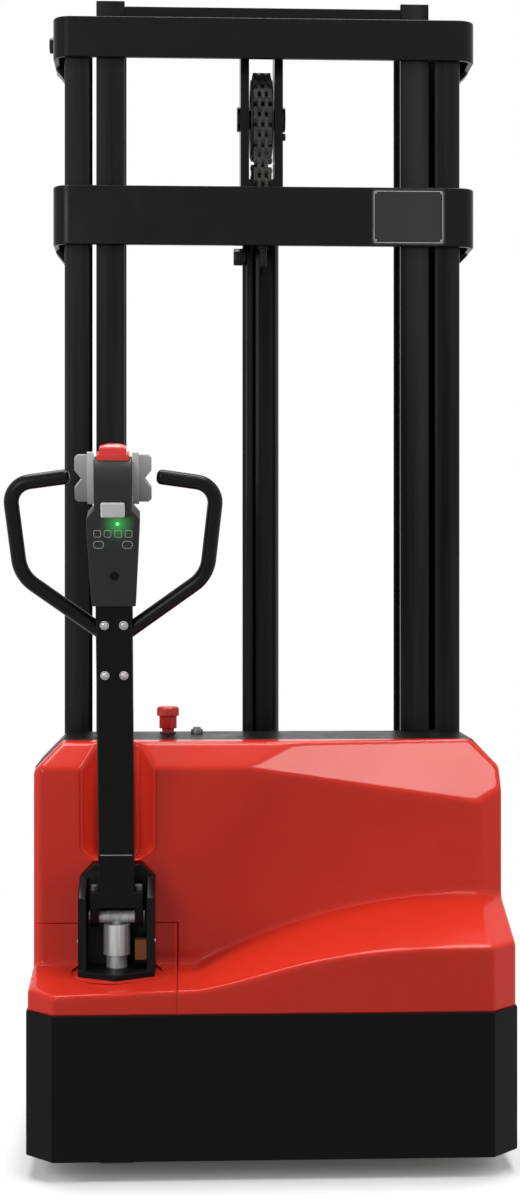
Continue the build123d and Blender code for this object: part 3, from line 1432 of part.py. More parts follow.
def crowned(half, low, edge, top):
    """Outline with straight sides and an arched top."""
    sides = Polyline((half, edge), (half, low), (-half, low), (-half, edge))
    return make_face(sides + ThreePointArc((-half, edge), (0, top), (half, edge)))


def make_belly_switch():
    """Red switch at the top of the head: a lip in its pocket and a narrower crowned top."""
    edge = belly_top - BELLY_DOME_EDGE
    depth = BELLY_DOME_DEPTH / 2
    front = Plane.XZ.offset(depth) * crowned(BELLY_DOME_HALF, belly_lip, edge, belly_top)
    side = Plane.YZ.offset(-BELLY_DOME_HALF) * crowned(depth, belly_lip, edge, belly_top)
    dome = extrude(front, BELLY_DOME_DEPTH, dir=(0, 1, 0))
    dome &= extrude(side, 2 * BELLY_DOME_HALF, dir=(1, 0, 0))
    return tiller_place * (dome + belly_block(0, belly_foot, belly_lip))


def make_horn_button():
    front = HEAD_FRONT - HORN_PROUD
    return tiller_place * horn_block(0, front, front + HORN_THICK)


# Switches on the deck
def make_switch_bezels():
    """Low ring round the stop button's plunger and the barrel of the key switch."""
    bore = ESTOP_PLUNGER_DIAMETER / 2 + SLIDING_CLEARANCE
    ring = (deck_top, deck_top + ESTOP_BEZEL_HEIGHT)
    stop = upright(estop_x, estop_y, ring, bore + ESTOP_BEZEL_WALL)
    stop -= upright(estop_x, estop_y, (ring[0] - CUT_PAST, ring[1] + CUT_PAST), bore)
    key = upright(key_x, key_y, (deck_top, deck_top + KEY_BEZEL_HEIGHT), KEY_BEZEL_DIAMETER / 2)
    return Compound(children=[stop, key])


def make_estop_button():
    """Stop button: a wide cap on a neck, with the plunger that passes through the deck."""
    top = deck_top + ESTOP_HEIGHT
    cap_bottom = top - ESTOP_CAP_HEIGHT
    neck_bottom = deck_top + ESTOP_BEZEL_HEIGHT + ESTOP_TRAVEL + FACE_CLEARANCE
    plunger = (deck_top - ESTOP_PLUNGER_REACH, neck_bottom)
    cap = upright(estop_x, estop_y, (cap_bottom, top), ESTOP_CAP_DIAMETER / 2)
    button = chamfer(cap.faces().sort_by(Axis.Z)[-1].edges(), ESTOP_CAP_EDGE)
    button += upright(estop_x, estop_y, (neck_bottom, cap_bottom), ESTOP_NECK_DIAMETER / 2)
    return button + upright(estop_x, estop_y, plunger, ESTOP_PLUNGER_DIAMETER / 2)


def make_key_knob():
    bottom = deck_top + KEY_BEZEL_HEIGHT
    radius = KEY_KNOB_DIAMETER / 2
    half = KEY_GRIP_THICK / 2
    knob = upright(0, 0, (bottom, bottom + KEY_KNOB_HEIGHT), radius)
    knob += block((-radius * 0.9, radius * 0.9), (-half, half), (bottom, bottom + KEY_GRIP_HEIGHT))
    return Pos(key_x, key_y, 0) * knob


# Pieces inside the body
def standing(x, size):
    """A block of the given size that stands on the chassis plate with its left end at x."""
    length, depth, height = size
    bottom = chassis_plate_top
    return block((x, x + length), (inside_place, inside_place + depth), (bottom, bottom + height))


def make_battery():
    battery = standing(battery_x, BATTERY_SIZE)
    length, depth, height = BATTERY_SIZE
    top = chassis_plate_top + height
    for share in (0.15, 0.85):
        post = (battery_x + share * length, inside_place + depth / 4)
        battery += upright(*post, (top, top + 16), 9)
    return battery


def make_power_unit():
    """Hydraulic power unit: oil tank, valve block and pump motor on top of each other."""
    tank_length, _, tank_height = TANK_SIZE
    valve_length, valve_depth, valve_height = VALVE_BLOCK_SIZE
    unit = standing(power_unit_x - tank_length / 2, TANK_SIZE)
    valve_bottom = chassis_plate_top + tank_height
    valve = (valve_bottom, valve_bottom + valve_height)
    across = (power_unit_x - valve_length / 2, power_unit_x + valve_length / 2)
    unit += block(across, (power_unit_y - valve_depth / 2, power_unit_y + valve_depth / 2), valve)
    unit += upright(power_unit_x, power_unit_y, (valve[1], valve[1] + MOTOR_HEIGHT), MOTOR_DIAMETER / 2)
    return unit


def make_controller():
    """Drive controller with a finned top."""
    length, depth, height = CONTROLLER_SIZE
    box = standing(controller_x, CONTROLLER_SIZE)
    top = chassis_plate_top + height
    across = (controller_x - CUT_PAST, controller_x + length + CUT_PAST)
    fins = 6
    pitch = depth / fins
    for number in range(fins):
        y = inside_place + (number + 0.35) * pitch
        box -= block(across, (y, y + pitch / 2), (top - 14, top + CUT_PAST))
    return box


def make_parts():
    cover = make_cover_shell()
    outer_column = make_outer_column()
    inner_column = make_inner_column()
    front_strand = make_chain_strand(front_chain_line, front_chain_end, front_links, front_first_link)
    upper_roller = MAST_ROLLER_LOW + MAST_ROLLER_STEP
    upper_carriage_roller = CARRIAGE_ROLLER_LOW + CARRIAGE_ROLLER_STEP
    return {
        "base_frame": make_base_frame(),
        "chassis_plate": make_chassis_plate(),
        "left_leg": make_leg(-1),
        "right_leg": make_leg(1),
        "load_wheel_axles": make_load_wheel_axles(),
        "skirt": make_skirt(),
        "body_shell": make_body_shell(),
        "hood": cover - panel_region(PANEL_GAP),
        "access_panel": cover & panel_region(0),
        "outer_column_left": on_right(outer_column),
        "outer_column_right": outer_column,
        "top_beam": make_band_beam(top_beam_bottom, TOP_BEAM_HEIGHT),
        "second_beam": make_band_beam(second_beam_bottom, SECOND_BEAM_HEIGHT),
        "lift_cylinder": make_lift_cylinder(),
        "cylinder_clamp": make_cylinder_clamp(),
        "return_pipe": make_return_pipe(),
        "chain_anchor": make_chain_anchor(),
        "chain_rear_strand": make_chain_strand(rear_chain_line, rear_chain_end, rear_links, 0),
        "battery": make_battery(),
        "power_unit": make_power_unit(),
        "controller": make_controller(),
        "steering_bearing": make_steering_bearing(),
        "switch_bezels": make_switch_bezels(),
        "inner_column_left": on_right(inner_column),
        "inner_column_right": inner_column,
        "inner_top_beam": make_inner_top_beam(),
        "inner_bottom_beam": make_inner_bottom_beam(),
        "sheave_frame": make_sheave_frame(),
        "sheave_axle": make_sheave_axle(),
        "piston_rod": make_piston_rod(),
        "chain_wrap": make_chain_wrap(),
        "chain_front_strand": front_strand,
        "mast_rollers_lower": make_roller_pair(mast_roller, MAST_ROLLER_LOW),
        "mast_rollers_upper": make_roller_pair(mast_roller, upper_roller),
        "chain_sheave": make_chain_sheave(),
        "carriage_frame": make_carriage_frame(),
        "left_fork": make_fork(-1),
        "right_fork": make_fork(1),
        "carriage_rollers_lower": make_roller_pair(carriage_roller, CARRIAGE_ROLLER_LOW),
        "carriage_rollers_upper": make_roller_pair(carriage_roller, upper_carriage_roller),
        "drive_yoke": make_drive_yoke(),
        "steering_post": make_steering_post(),
        "tiller_seat": make_tiller_seat(),
        "brake_switch": make_brake_switch(),
        "drive_hub": make_drive_hub(),
        "drive_tyre": make_drive_tyre(),
        "tiller_arm": make_tiller_arm(),
        "tiller_yoke": make_tiller_yoke(),
        "pivot_pin": make_pivot_pin(),
        "handlebar": make_handlebar(),
        "head_housing": make_head_housing(),
        "throttle_knobs": make_throttle_knobs(),
        "belly_switch": make_belly_switch(),
        "horn_button": make_horn_button(),
        "caster_fork": make_caster_fork(),
        "caster_wheel": make_caster_wheel(),
        "left_load_wheel": make_load_wheel(-1),
        "right_load_wheel": make_load_wheel(1),
        "estop_button": make_estop_button(),
        "key_knob": make_key_knob(),
    }


def middle_of(parts):
    """X and Y of the middle of the box round all parts."""
    boxes = [part.bounding_box() for part in parts.values()]
    low_x = min(box.min.X for box in boxes)
    high_x = max(box.max.X for box in boxes)
    low_y = min(box.min.Y for box in boxes)
    high_y = max(box.max.Y for box in boxes)
    return (low_x + high_x) / 2, (low_y + high_y) / 2


parts = make_parts()
middle_x, middle_y = middle_of(parts)
os.makedirs("parts", exist_ok=True)
for name, part in parts.items():
    export_step(Pos(-middle_x, -middle_y, 0) * part, f"parts/{name}.step")
print(f"{len(parts)} parts, origin at x {middle_x:.3f}, y {middle_y:.3f} of the modelling frame")
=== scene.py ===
# %% [markdown]
# # A pedestrian pallet stacker, dressed for its picture
# The solid parts of the truck come ready-made in one fixed frame. This lesson gives them their
# finishes, rounds their edges and adds the small things that a solid model leaves out: screws,
# keys, chain pins and plates.

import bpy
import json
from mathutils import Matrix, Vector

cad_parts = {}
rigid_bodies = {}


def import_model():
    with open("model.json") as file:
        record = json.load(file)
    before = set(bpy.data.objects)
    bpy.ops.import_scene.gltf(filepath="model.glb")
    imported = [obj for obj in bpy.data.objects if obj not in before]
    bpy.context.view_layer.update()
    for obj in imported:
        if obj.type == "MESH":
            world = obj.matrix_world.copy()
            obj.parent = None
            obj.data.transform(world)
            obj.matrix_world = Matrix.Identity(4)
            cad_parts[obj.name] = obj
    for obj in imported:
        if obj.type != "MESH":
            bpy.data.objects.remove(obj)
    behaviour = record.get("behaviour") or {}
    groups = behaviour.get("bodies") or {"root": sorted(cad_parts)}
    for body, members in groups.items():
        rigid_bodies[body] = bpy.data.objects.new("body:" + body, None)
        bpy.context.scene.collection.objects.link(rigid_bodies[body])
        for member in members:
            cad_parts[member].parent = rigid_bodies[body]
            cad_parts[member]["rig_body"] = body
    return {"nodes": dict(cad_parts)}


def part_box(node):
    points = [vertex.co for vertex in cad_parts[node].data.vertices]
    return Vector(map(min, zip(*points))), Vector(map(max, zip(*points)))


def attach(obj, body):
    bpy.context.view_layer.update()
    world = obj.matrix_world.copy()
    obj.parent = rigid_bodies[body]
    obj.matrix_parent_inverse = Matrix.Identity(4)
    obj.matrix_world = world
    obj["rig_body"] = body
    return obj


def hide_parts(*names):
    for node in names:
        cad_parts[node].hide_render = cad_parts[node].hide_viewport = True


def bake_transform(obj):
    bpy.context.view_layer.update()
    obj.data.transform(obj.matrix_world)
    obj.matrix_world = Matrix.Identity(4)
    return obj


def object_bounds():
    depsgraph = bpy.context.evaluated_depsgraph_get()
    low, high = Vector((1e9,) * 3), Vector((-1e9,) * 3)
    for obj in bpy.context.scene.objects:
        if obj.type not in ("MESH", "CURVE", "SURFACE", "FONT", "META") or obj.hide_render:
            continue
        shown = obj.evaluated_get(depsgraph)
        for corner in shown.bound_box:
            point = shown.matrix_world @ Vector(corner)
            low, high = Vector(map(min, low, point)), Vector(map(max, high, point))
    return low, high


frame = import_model()

# %% Measure the frame
import json
import math

import bmesh
import bpy
from mathutils import Matrix, Vector

solid_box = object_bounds()
scene = bpy.context.scene
skirt_low, skirt_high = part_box("skirt")
CENTRE_X = (skirt_low.x + skirt_high.x) / 2
FRONT_Y = skirt_low.y
MM = 0.001


def truck(x, y, z):
    """Millimetres from the floor under the skirt's front centre, as a point of the frame in metres."""
    return Vector((CENTRE_X + x * MM, FRONT_Y + y * MM, z * MM))


print("solid box", [round(value, 3) for corner in solid_box for value in corner])

# %% [markdown]
# ## The camera
# The photograph was taken from a few metres in front of the operator's end, at about chest height
# and a little to the left. The camera is level, so upright edges stay upright; a small lens shift
# lowers the frame instead of a tilt.

# %% Camera
LEVEL, TURN = math.radians(90), math.radians(-2.388)
camera_data = bpy.data.cameras.new("photo_camera")
camera_data.lens = 56.82
camera_data.shift_y = -0.0281
camera = bpy.data.objects.new("photo_camera", camera_data)
camera.location = truck(-153.2, -3105.6, 1010.8)
camera.rotation_euler = (LEVEL, 0, TURN)
scene.collection.objects.link(camera)
scene.camera = camera
print("camera at", [round(value, 3) for value in camera.location])

# %% [markdown]
# ## Backdrop
# The studio is white to the eye and in reflections, but the world lights the truck only softly. A
# Light Path node tells the two apart: camera, glossy and transmission rays see white.


# %% Helpers for nodes
def node_tree(owner):
    """The emptied nodes and links of a world or a material."""
    owner.use_nodes = True
    owner.node_tree.nodes.clear()
    return owner.node_tree.nodes, owner.node_tree.links


def math_node(nodes, links, operation, *values, kind="ShaderNodeMath"):
    """The outputs of a math node. Of its inputs, sockets are linked and plain values are set."""
    made = nodes.new(kind)
    made.operation = operation
    for entry, value in zip(made.inputs, values):
        if isinstance(value, bpy.types.NodeSocket):
            links.new(value, entry)
        else:
            entry.default_value = value
    return made.outputs


def map_range(nodes, links, value, ends, span=(0, 1), interpolation="LINEAR"):
    """The output of a Map Range node that takes a span of values to two end values."""
    made = nodes.new("ShaderNodeMapRange")
    made.interpolation_type = interpolation
    for name, number in zip(("From Min", "From Max", "To Min", "To Max"), (*span, *ends)):
        made.inputs[name].default_value = number
    links.new(value, made.inputs["Value"])
    return made.outputs["Result"]


def seen_rays(nodes, links):
    """A socket that is 1 for rays that show the backdrop, straight or in a reflection, and else 0."""
    rays = nodes.new("ShaderNodeLightPath").outputs
    seen = rays["Is Camera Ray"]
    for other in (rays["Is Transmission Ray"], rays["Is Glossy Ray"]):
        seen = math_node(nodes, links, "MAXIMUM", seen, other)[0]
    return seen


print("node helpers ready")

# %% White world
WORLD_LIGHT, WORLD_SEEN = 0.22, 1.0
scene.view_settings.view_transform = "Standard"
world = bpy.data.worlds.new("white_studio")
scene.world = world
nodes, links = node_tree(world)
sky = nodes.new("ShaderNodeBackground")
sky.inputs["Color"].default_value = (1, 1, 1, 1)
level = map_range(nodes, links, seen_rays(nodes, links), (WORLD_LIGHT, WORLD_SEEN))
links.new(level, sky.inputs["Strength"])
output = nodes.new("ShaderNodeOutputWorld")
links.new(sky.outputs["Background"], output.inputs["Surface"])
print("world", world.name)

# %% [markdown]
# ## Floor
# Close to the truck the floor is a pale matt surface that takes its shadow. The distance from a
# rectangle round the skirt and the forks fades it into the white of the backdrop, sooner at the sides
# than in front, so that no horizon shows. For light that bounces off it the floor is darker, so that
# it doesn't light the truck from below.

# %% Floor mesh
FLOOR_HALF = 9.0
floor_shape = bmesh.new()
bmesh.ops.create_grid(floor_shape, x_segments=1, y_segments=1, size=FLOOR_HALF)
floor_mesh = bpy.data.meshes.new("studio_floor")
floor_shape.to_mesh(floor_mesh)
floor_shape.free()
floor = bpy.data.objects.new("studio_floor", floor_mesh)
scene.collection.objects.link(floor)
print("floor", round(floor.dimensions.x, 1), "m wide")

# %% Floor finish
FADE_START, FADE_END = 0.02, 0.4
SOONER_AT_SIDES = (8, 1, 1)
FLOOR_GLOW = 0.06
FLOOR_BOUNCE, FLOOR_SEEN = 0.12, 0.6
foot_low = Vector((skirt_low.x, skirt_low.y, 0))
foot_high = Vector((skirt_high.x, solid_box[1][1], 0))
floor_paint = bpy.data.materials.new("pale_floor")
nodes, links = node_tree(floor_paint)
beyond = nodes.new("ShaderNodeTexCoord").outputs["Object"]
for operation, value in (
    ("SUBTRACT", (foot_low + foot_high) / 2),
    ("ABSOLUTE", (0, 0, 0)),
    ("SUBTRACT", (foot_high - foot_low) / 2),
    ("MAXIMUM", (0, 0, 0)),
    ("MULTIPLY", SOONER_AT_SIDES),
):
    beyond = math_node(nodes, links, operation, beyond, value, kind="ShaderNodeVectorMath")["Vector"]
distance = math_node(nodes, links, "LENGTH", beyond, kind="ShaderNodeVectorMath")["Value"]
fade = map_range(nodes, links, distance, (0, 1), (FADE_START, FADE_END), "SMOOTHSTEP")
shown = seen_rays(nodes, links)
glow = nodes.new("ShaderNodeEmission")
links.new(math_node(nodes, links, "MULTIPLY", shown, FLOOR_GLOW)[0], glow.inputs["Strength"])
matt = nodes.new("ShaderNodeBsdfDiffuse")
links.new(map_range(nodes, links, shown, (FLOOR_BOUNCE, FLOOR_SEEN)), matt.inputs["Color"])
near = nodes.new("ShaderNodeAddShader")
links.new(glow.outputs[0], near.inputs[0])
links.new(matt.outputs[0], near.inputs[1])
far = nodes.new("ShaderNodeEmission")
mixed = nodes.new("ShaderNodeMixShader")
links.new(math_node(nodes, links, "MULTIPLY", fade, shown)[0], mixed.inputs["Fac"])
links.new(near.outputs[0], mixed.inputs[1])
links.new(far.outputs[0], mixed.inputs[2])
output = nodes.new("ShaderNodeOutputMaterial")
links.new(mixed.outputs[0], output.inputs["Surface"])
floor_mesh.materials.append(floor_paint)
print("floor white", FADE_END, "m in front of the truck")

# %% [markdown]
# ## Soft boxes
# A lamp above the truck makes its ledges lighter than its upright faces, one behind it parts it from
# the backdrop, and one high in front shows as a pale sheen on the cover's slanted facet. A wide weak
# one to the left of the camera fills the shadow of the tiller. Two tall lamps light the sides of the
# black columns. Gloss paint seen at a flat angle would mirror those two as white holes in the cover,
# so glossy rays pass them by.

# %% Lamps
for name, place, aim, width, height, power, mirrored in (
    ("front_box", (1560, -1685, 5440), (250, 185, 660), 1.75, 0.8, 82, True),
    ("top_box", (0, 760, 5650), (0, 150, 450), 4.0, 1.35, 258, True),
    ("back_box", (0, 2170, 5150), (0, 350, 700), 4.0, 1.6, 164, True),
    ("fill_box", (-2300, -3500, 2000), (0, 100, 700), 1.6, 1.8, 62, True),
    ("left_strip", (-3000, -900, 1700), (-200, 300, 1000), 0.8, 3.2, 105, False),
    ("right_strip", (3000, -800, 1700), (200, 300, 1000), 0.8, 3.2, 100, False),
):
    lamp = bpy.data.lights.new(name, "AREA")
    lamp.shape = "RECTANGLE"
    lamp.size = width
    lamp.size_y = height
    lamp.energy = power
    holder = bpy.data.objects.new(name, lamp)
    holder.location = truck(*place)
    holder.rotation_euler = (truck(*aim) - truck(*place)).to_track_quat("-Z", "Y").to_euler()
    holder.visible_glossy = mirrored
    scene.collection.objects.link(holder)
print(len(bpy.data.lights), "lamps")

# %% [markdown]
# ## Finishes
# Every finish is built from the same few ingredients, read on Object coordinates so that they stay
# on the part: a slow mottle that shifts the colour, a second noise that varies the gloss, and a
# fine noise that raises a grain. A clear coat goes on top of gloss paint.

# %% A helper for finishes
NOISE_SPAN = (0.3, 0.7)
GLOSS_SCALE = 22.0
GRAIN_DEPTH = 0.0002
COAT_ROUGHNESS = 0.05


def finish(
    name, colour, mottle=0.08, mottle_scale=9.0, roughness=(0.4, 0.5), grain=0.05, grain_scale=900.0,
    stretch=(1.0, 1.0, 1.0), metallic=0.0, coat=0.0, specular=0.5,
):
    """A material whose colour, gloss and grain vary with noise on Object coordinates."""
    material = bpy.data.materials.new(name)
    nodes, links = node_tree(material)
    place = nodes.new("ShaderNodeTexCoord")
    scaled = nodes.new("ShaderNodeMapping")
    scaled.inputs["Scale"].default_value = stretch
    links.new(place.outputs["Object"], scaled.inputs["Vector"])

    def noise(scale, detail):
        made = nodes.new("ShaderNodeTexNoise")
        made.inputs["Scale"].default_value = scale
        made.inputs["Detail"].default_value = detail
        links.new(scaled.outputs["Vector"], made.inputs["Vector"])
        return made.outputs["Fac"]

    tone = nodes.new("ShaderNodeMix")
    tone.data_type = "RGBA"
    darker = [channel * (1 - mottle) for channel in colour]
    lighter = [min(1.0, channel * (1 + mottle)) for channel in colour]
    tone.inputs["A"].default_value = (*darker, 1)
    tone.inputs["B"].default_value = (*lighter, 1)
    patches = map_range(nodes, links, noise(mottle_scale, detail=5), (0, 1), NOISE_SPAN)
    links.new(patches, tone.inputs["Factor"])
    gloss = map_range(nodes, links, noise(GLOSS_SCALE, detail=4), roughness, NOISE_SPAN)
    relief = nodes.new("ShaderNodeBump")
    relief.inputs["Strength"].default_value = grain
    relief.inputs["Distance"].default_value = GRAIN_DEPTH
    links.new(noise(grain_scale, detail=2), relief.inputs["Height"])
    shader = nodes.new("ShaderNodeBsdfPrincipled")
    shader.inputs["Metallic"].default_value = metallic
    shader.inputs["Specular IOR Level"].default_value = specular
    shader.inputs["Coat Weight"].default_value = coat
    shader.inputs["Coat Roughness"].default_value = COAT_ROUGHNESS
    links.new(tone.outputs["Result"], shader.inputs["Base Color"])
    links.new(gloss, shader.inputs["Roughness"])
    links.new(relief.outputs["Normal"], shader.inputs["Normal"])
    output = nodes.new("ShaderNodeOutputMaterial")
    links.new(shader.outputs["BSDF"], output.inputs["Surface"])
    return material


print("finish helper ready")

# %% Paints
red_paint = finish(
    "red_gloss_paint", (0.385, 0.018, 0.009), mottle=0.03, roughness=(0.17, 0.23), grain=0.04,
    grain_scale=120, coat=0.16, specular=0.08,
)
mast_paint = finish(
    "mast_gloss_black", (0.004, 0.004, 0.0042), mottle=0.12, roughness=(0.2, 0.3), grain=0.04,
    grain_scale=200, specular=0.12,
)
# Painted sheen: the strong mottle, stretched along the height, draws pale streaks that stand in for
# light along the columns and the lift cylinder.
column_sheen_paint = finish(
    "column_black_painted_sheen", (0.0092, 0.0092, 0.0095), mottle=0.92, mottle_scale=24,
    roughness=(0.16, 0.32), grain_scale=150, stretch=(1, 1, 0.03), specular=0.07,
)
skirt_paint = finish(
    "skirt_satin_black", (0.003, 0.003, 0.0031), mottle=0.15, roughness=(0.3, 0.42), grain=0.12,
    grain_scale=700, specular=0.06,
)
frame_paint = finish(
    "frame_satin_black", (0.006, 0.006, 0.0062), mottle=0.15, roughness=(0.42, 0.56), grain=0.2,
    grain_scale=600, specular=0.1,
)
arm_paint = finish(
    "tiller_satin_black", (0.0035, 0.0035, 0.0037), mottle=0.12, roughness=(0.26, 0.38), grain=0.1,
    grain_scale=800, specular=0.08,
)
unit_paint = finish("power_unit_grey", (0.12, 0.13, 0.14))
plate_black = finish(
    "plate_satin_black", (0.018, 0.018, 0.0185), mottle=0.1, roughness=(0.34, 0.46), grain=0.08,
    grain_scale=500, specular=0.2,
)
plate_line = finish("plate_pale_line", (0.42, 0.42, 0.41), mottle=0.05, grain_scale=700)
print("paints ready")

# %% Plastics and rubber
head_plastic = finish(
    "head_grained_plastic", (0.017, 0.017, 0.0175), mottle=0.1, roughness=(0.46, 0.58), grain=0.25,
    grain_scale=1500, specular=0.2,
)
panel_plastic = finish(
    "membrane_gloss_plastic", (0.006, 0.007, 0.0068), mottle=0.06, roughness=(0.16, 0.24), grain=0.02,
    specular=0.3,
)
knob_plastic = finish(
    "knob_grey_plastic", (0.222, 0.222, 0.227), mottle=0.05, roughness=(0.42, 0.52), grain=0.2,
    grain_scale=1500,
)
button_plastic = finish(
    "button_pale_plastic", (0.42, 0.42, 0.425), mottle=0.04, grain=0.12, grain_scale=1500,
)
key_plastic = finish(
    "key_grey_plastic", (0.24, 0.25, 0.245), mottle=0.05, grain=0.1, grain_scale=1500,
)
collar_plastic = finish(
    "collar_light_plastic", (0.38, 0.38, 0.385), mottle=0.04, grain=0.12, grain_scale=1500,
)
red_plastic = finish(
    "switch_red_plastic", (0.56, 0.024, 0.018), mottle=0.04, roughness=(0.26, 0.34),
)
stop_plastic = finish(
    "stop_red_plastic", (0.32, 0.013, 0.011), mottle=0.04, roughness=(0.22, 0.3), grain=0.04,
    specular=0.35,
)
brown_plastic = finish(
    "switch_brown_plastic", (0.15, 0.056, 0.015), mottle=0.15, roughness=(0.45, 0.6), grain=0.25,
    specular=0.2,
)
black_plastic = finish(
    "bezel_black_plastic", (0.014, 0.014, 0.014), mottle=0.1, grain=0.15, grain_scale=1300,
    specular=0.3,
)
grip_rubber = finish(
    "grip_black_coating", (0.004, 0.004, 0.0042), mottle=0.1, roughness=(0.2, 0.3), grain=0.06,
    grain_scale=1100, specular=0.11,
)
tyre_rubber = finish(
    "tyre_black_rubber", (0.02, 0.02, 0.02), mottle=0.25, roughness=(0.65, 0.8), grain=0.5,
    grain_scale=500,
)
wheel_plastic = finish(
    "wheel_amber_plastic", (0.5, 0.27, 0.07), mottle=0.12, roughness=(0.35, 0.5), grain=0.15,
    grain_scale=300,
)
battery_plastic = finish("battery_case", (0.05, 0.05, 0.055), roughness=(0.5, 0.6))
print("plastics ready")

# %% Bare metals
pin_steel = finish(
    "turned_steel", (0.42, 0.415, 0.41), mottle=0.12, mottle_scale=18, roughness=(0.26, 0.38),
    grain=0.06, grain_scale=60, stretch=(1, 1, 14), metallic=1.0,
)
brushed_steel = finish(
    "brushed_steel", (0.385, 0.39, 0.395), mottle=0.35, mottle_scale=14, roughness=(0.32, 0.44),
    grain=0.03, grain_scale=50, stretch=(12, 12, 0.6), metallic=0.3,
)
rod_chrome = finish(
    "hard_chrome", (0.5, 0.505, 0.52), mottle=0.03, roughness=(0.08, 0.14), grain=0.03, metallic=1.0,
)
chain_steel = finish(
    "oiled_chain_steel", (0.034, 0.0332, 0.0323), mottle=0.35, mottle_scale=60, roughness=(0.34, 0.5),
    grain=0.2, grain_scale=500, metallic=0.6, specular=0.2,
)
sheave_iron = finish(
    "machined_iron", (0.016, 0.016, 0.0165), mottle=0.2, mottle_scale=30, roughness=(0.36, 0.5),
    grain=0.2, grain_scale=300, metallic=0.4, specular=0.2,
)
roller_steel = finish(
    "ground_steel", (0.22, 0.22, 0.225), mottle=0.12, mottle_scale=40, roughness=(0.26, 0.4),
    grain=0.1, metallic=1.0,
)
cast_iron = finish(
    "rough_cast_iron", (0.05, 0.05, 0.052), mottle=0.25, mottle_scale=40, roughness=(0.55, 0.7),
    grain=0.5, grain_scale=350, metallic=0.3,
)
alloy = finish("machined_alloy", (0.55, 0.55, 0.56), roughness=(0.3, 0.42), grain=0.1, metallic=1.0)
print(len(bpy.data.materials), "materials")

# %% [markdown]
# ## Rounded edges
# No real edge is perfectly sharp, and the thin line of light along a rounded edge is what makes a
# solid look solid. A copy of the part has its triangles joined back into flat faces, and a Bevel
# modifier rounds every edge that is sharper than a set angle.

# %% Helpers that round a solid part
SAME_SPOT = 2e-6
FLAT, CREASE = 0.4, 28


def solid_copy(node):
    """A solid part as a new bmesh, with its triangles joined back into flat faces."""
    shape = bmesh.new()
    shape.from_mesh(frame["nodes"][node].data)
    bmesh.ops.remove_doubles(shape, verts=shape.verts, dist=SAME_SPOT)
    bmesh.ops.dissolve_limit(
        shape, angle_limit=math.radians(FLAT), verts=shape.verts, edges=shape.edges
    )
    return shape


def piece(name, shape, paint, crease=CREASE):
    """A bmesh as a smooth object that keeps the edges sharper than crease, in degrees."""
    for face in shape.faces:
        face.smooth = True
    mesh = bpy.data.meshes.new(name)
    shape.to_mesh(mesh)
    shape.free()
    mesh.set_sharp_from_angle(angle=math.radians(crease))
    mesh.materials.append(paint)
    made = bpy.data.objects.new(name, mesh)
    scene.collection.objects.link(made)
    return made


def round_edges(made, radius, segments=2, clamp=True):
    """A Bevel modifier on every sharp edge. The radius is in millimetres."""
    edge = made.modifiers.new("rounding", "BEVEL")
    edge.width = radius * MM
    edge.segments = segments
    edge.limit_method = "ANGLE"
    edge.angle_limit = math.radians(CREASE)
    edge.harden_normals = True
    edge.use_clamp_overlap = clamp


def stand_for(made, node):
    """Let a piece take the place of a solid part, on the same body."""
    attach(made, frame["nodes"][node]["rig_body"])
    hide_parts(node)


def rounded(node, paint, radius, segments=2, clamp=True):
    """A solid part with rounded edges, shown in its place. The radius is in millimetres."""
    made = piece(node + "_rounded", solid_copy(node), paint)
    round_edges(made, radius, segments, clamp=clamp)
    stand_for(made, node)
    return made


# %% [markdown]
# ## Chassis, skirt and legs
# The skirt is folded from thick plate, so its edges are only a little round. The legs under the
# forks and the lower frame are plain weldments in satin black, and the axles are bare steel. The
# battery, the power unit and the controller are hidden in the body, so they keep their solid shapes
# and only get a finish.

# %% Dress the chassis
for node, paint, radius in (
    ("base_frame", frame_paint, 1.5),
    ("chassis_plate", frame_paint, 1.0),
    ("left_leg", frame_paint, 2.0),
    ("right_leg", frame_paint, 2.0),
    ("load_wheel_axles", pin_steel, 1.0),
    ("skirt", skirt_paint, 2.2),
    ("body_shell", skirt_paint, 1.6),
    ("drive_yoke", cast_iron, 1.5),
    ("drive_hub", alloy, 1.0),
    ("drive_tyre", tyre_rubber, 2.0),
    ("caster_fork", frame_paint, 1.5),
    ("caster_wheel", wheel_plastic, 1.5),
    ("left_load_wheel", wheel_plastic, 1.0),
    ("right_load_wheel", wheel_plastic, 1.0),
    ("steering_bearing", roller_steel, 0.8),
):
    rounded(node, paint, radius)
for node, paint in (("battery", battery_plastic), ("power_unit", unit_paint), ("controller", alloy)):
    mesh = frame["nodes"][node].data
    mesh.materials.clear()
    mesh.materials.append(paint)
print("chassis dressed")

# %% [markdown]
# ## The moulded cover
# The red cover is one moulding with soft creases, a ledge that sweeps up to the right and a channel
# for the tiller. It could be modelled face by face, but soft creases that run into each other are
# hard to bevel. Here its two tiers are cut from simple blocks, melted into one skin by a voxel
# Remesh and softened by a Smooth modifier, as a moulding would be.

# %% Helpers that cut a block
NEAR = 1e-6


def edges_of(parts):
    """The edges among some vertices, edges and faces of a bmesh."""
    return [part for part in parts if isinstance(part, bmesh.types.BMEdge)]


def slice_at(shape, point, normal, clear=False):
    """Cut along a plane, in millimetres of the truck. Returns the edges of the cut."""
    cut = bmesh.ops.bisect_plane(
        shape, geom=shape.verts[:] + shape.edges[:] + shape.faces[:], plane_co=truck(*point),
        plane_no=Vector(normal), dist=NEAR, clear_outer=clear,
    )
    return edges_of(cut["geom_cut"])


def cut_off(shape, point, normal):
    """Cut away what lies beyond a plane, in millimetres of the truck, and close the cut."""
    bmesh.ops.edgeloop_fill(shape, edges=slice_at(shape, point, normal, clear=True))


def block(shape, low, high):
    """Add a box between two corners, in millimetres of the truck."""
    low, high = truck(*low), truck(*high)
    size = Matrix.Diagonal((*(high - low), 1))
    bmesh.ops.create_cube(shape, size=1.0, matrix=Matrix.Translation((low + high) / 2) @ size)


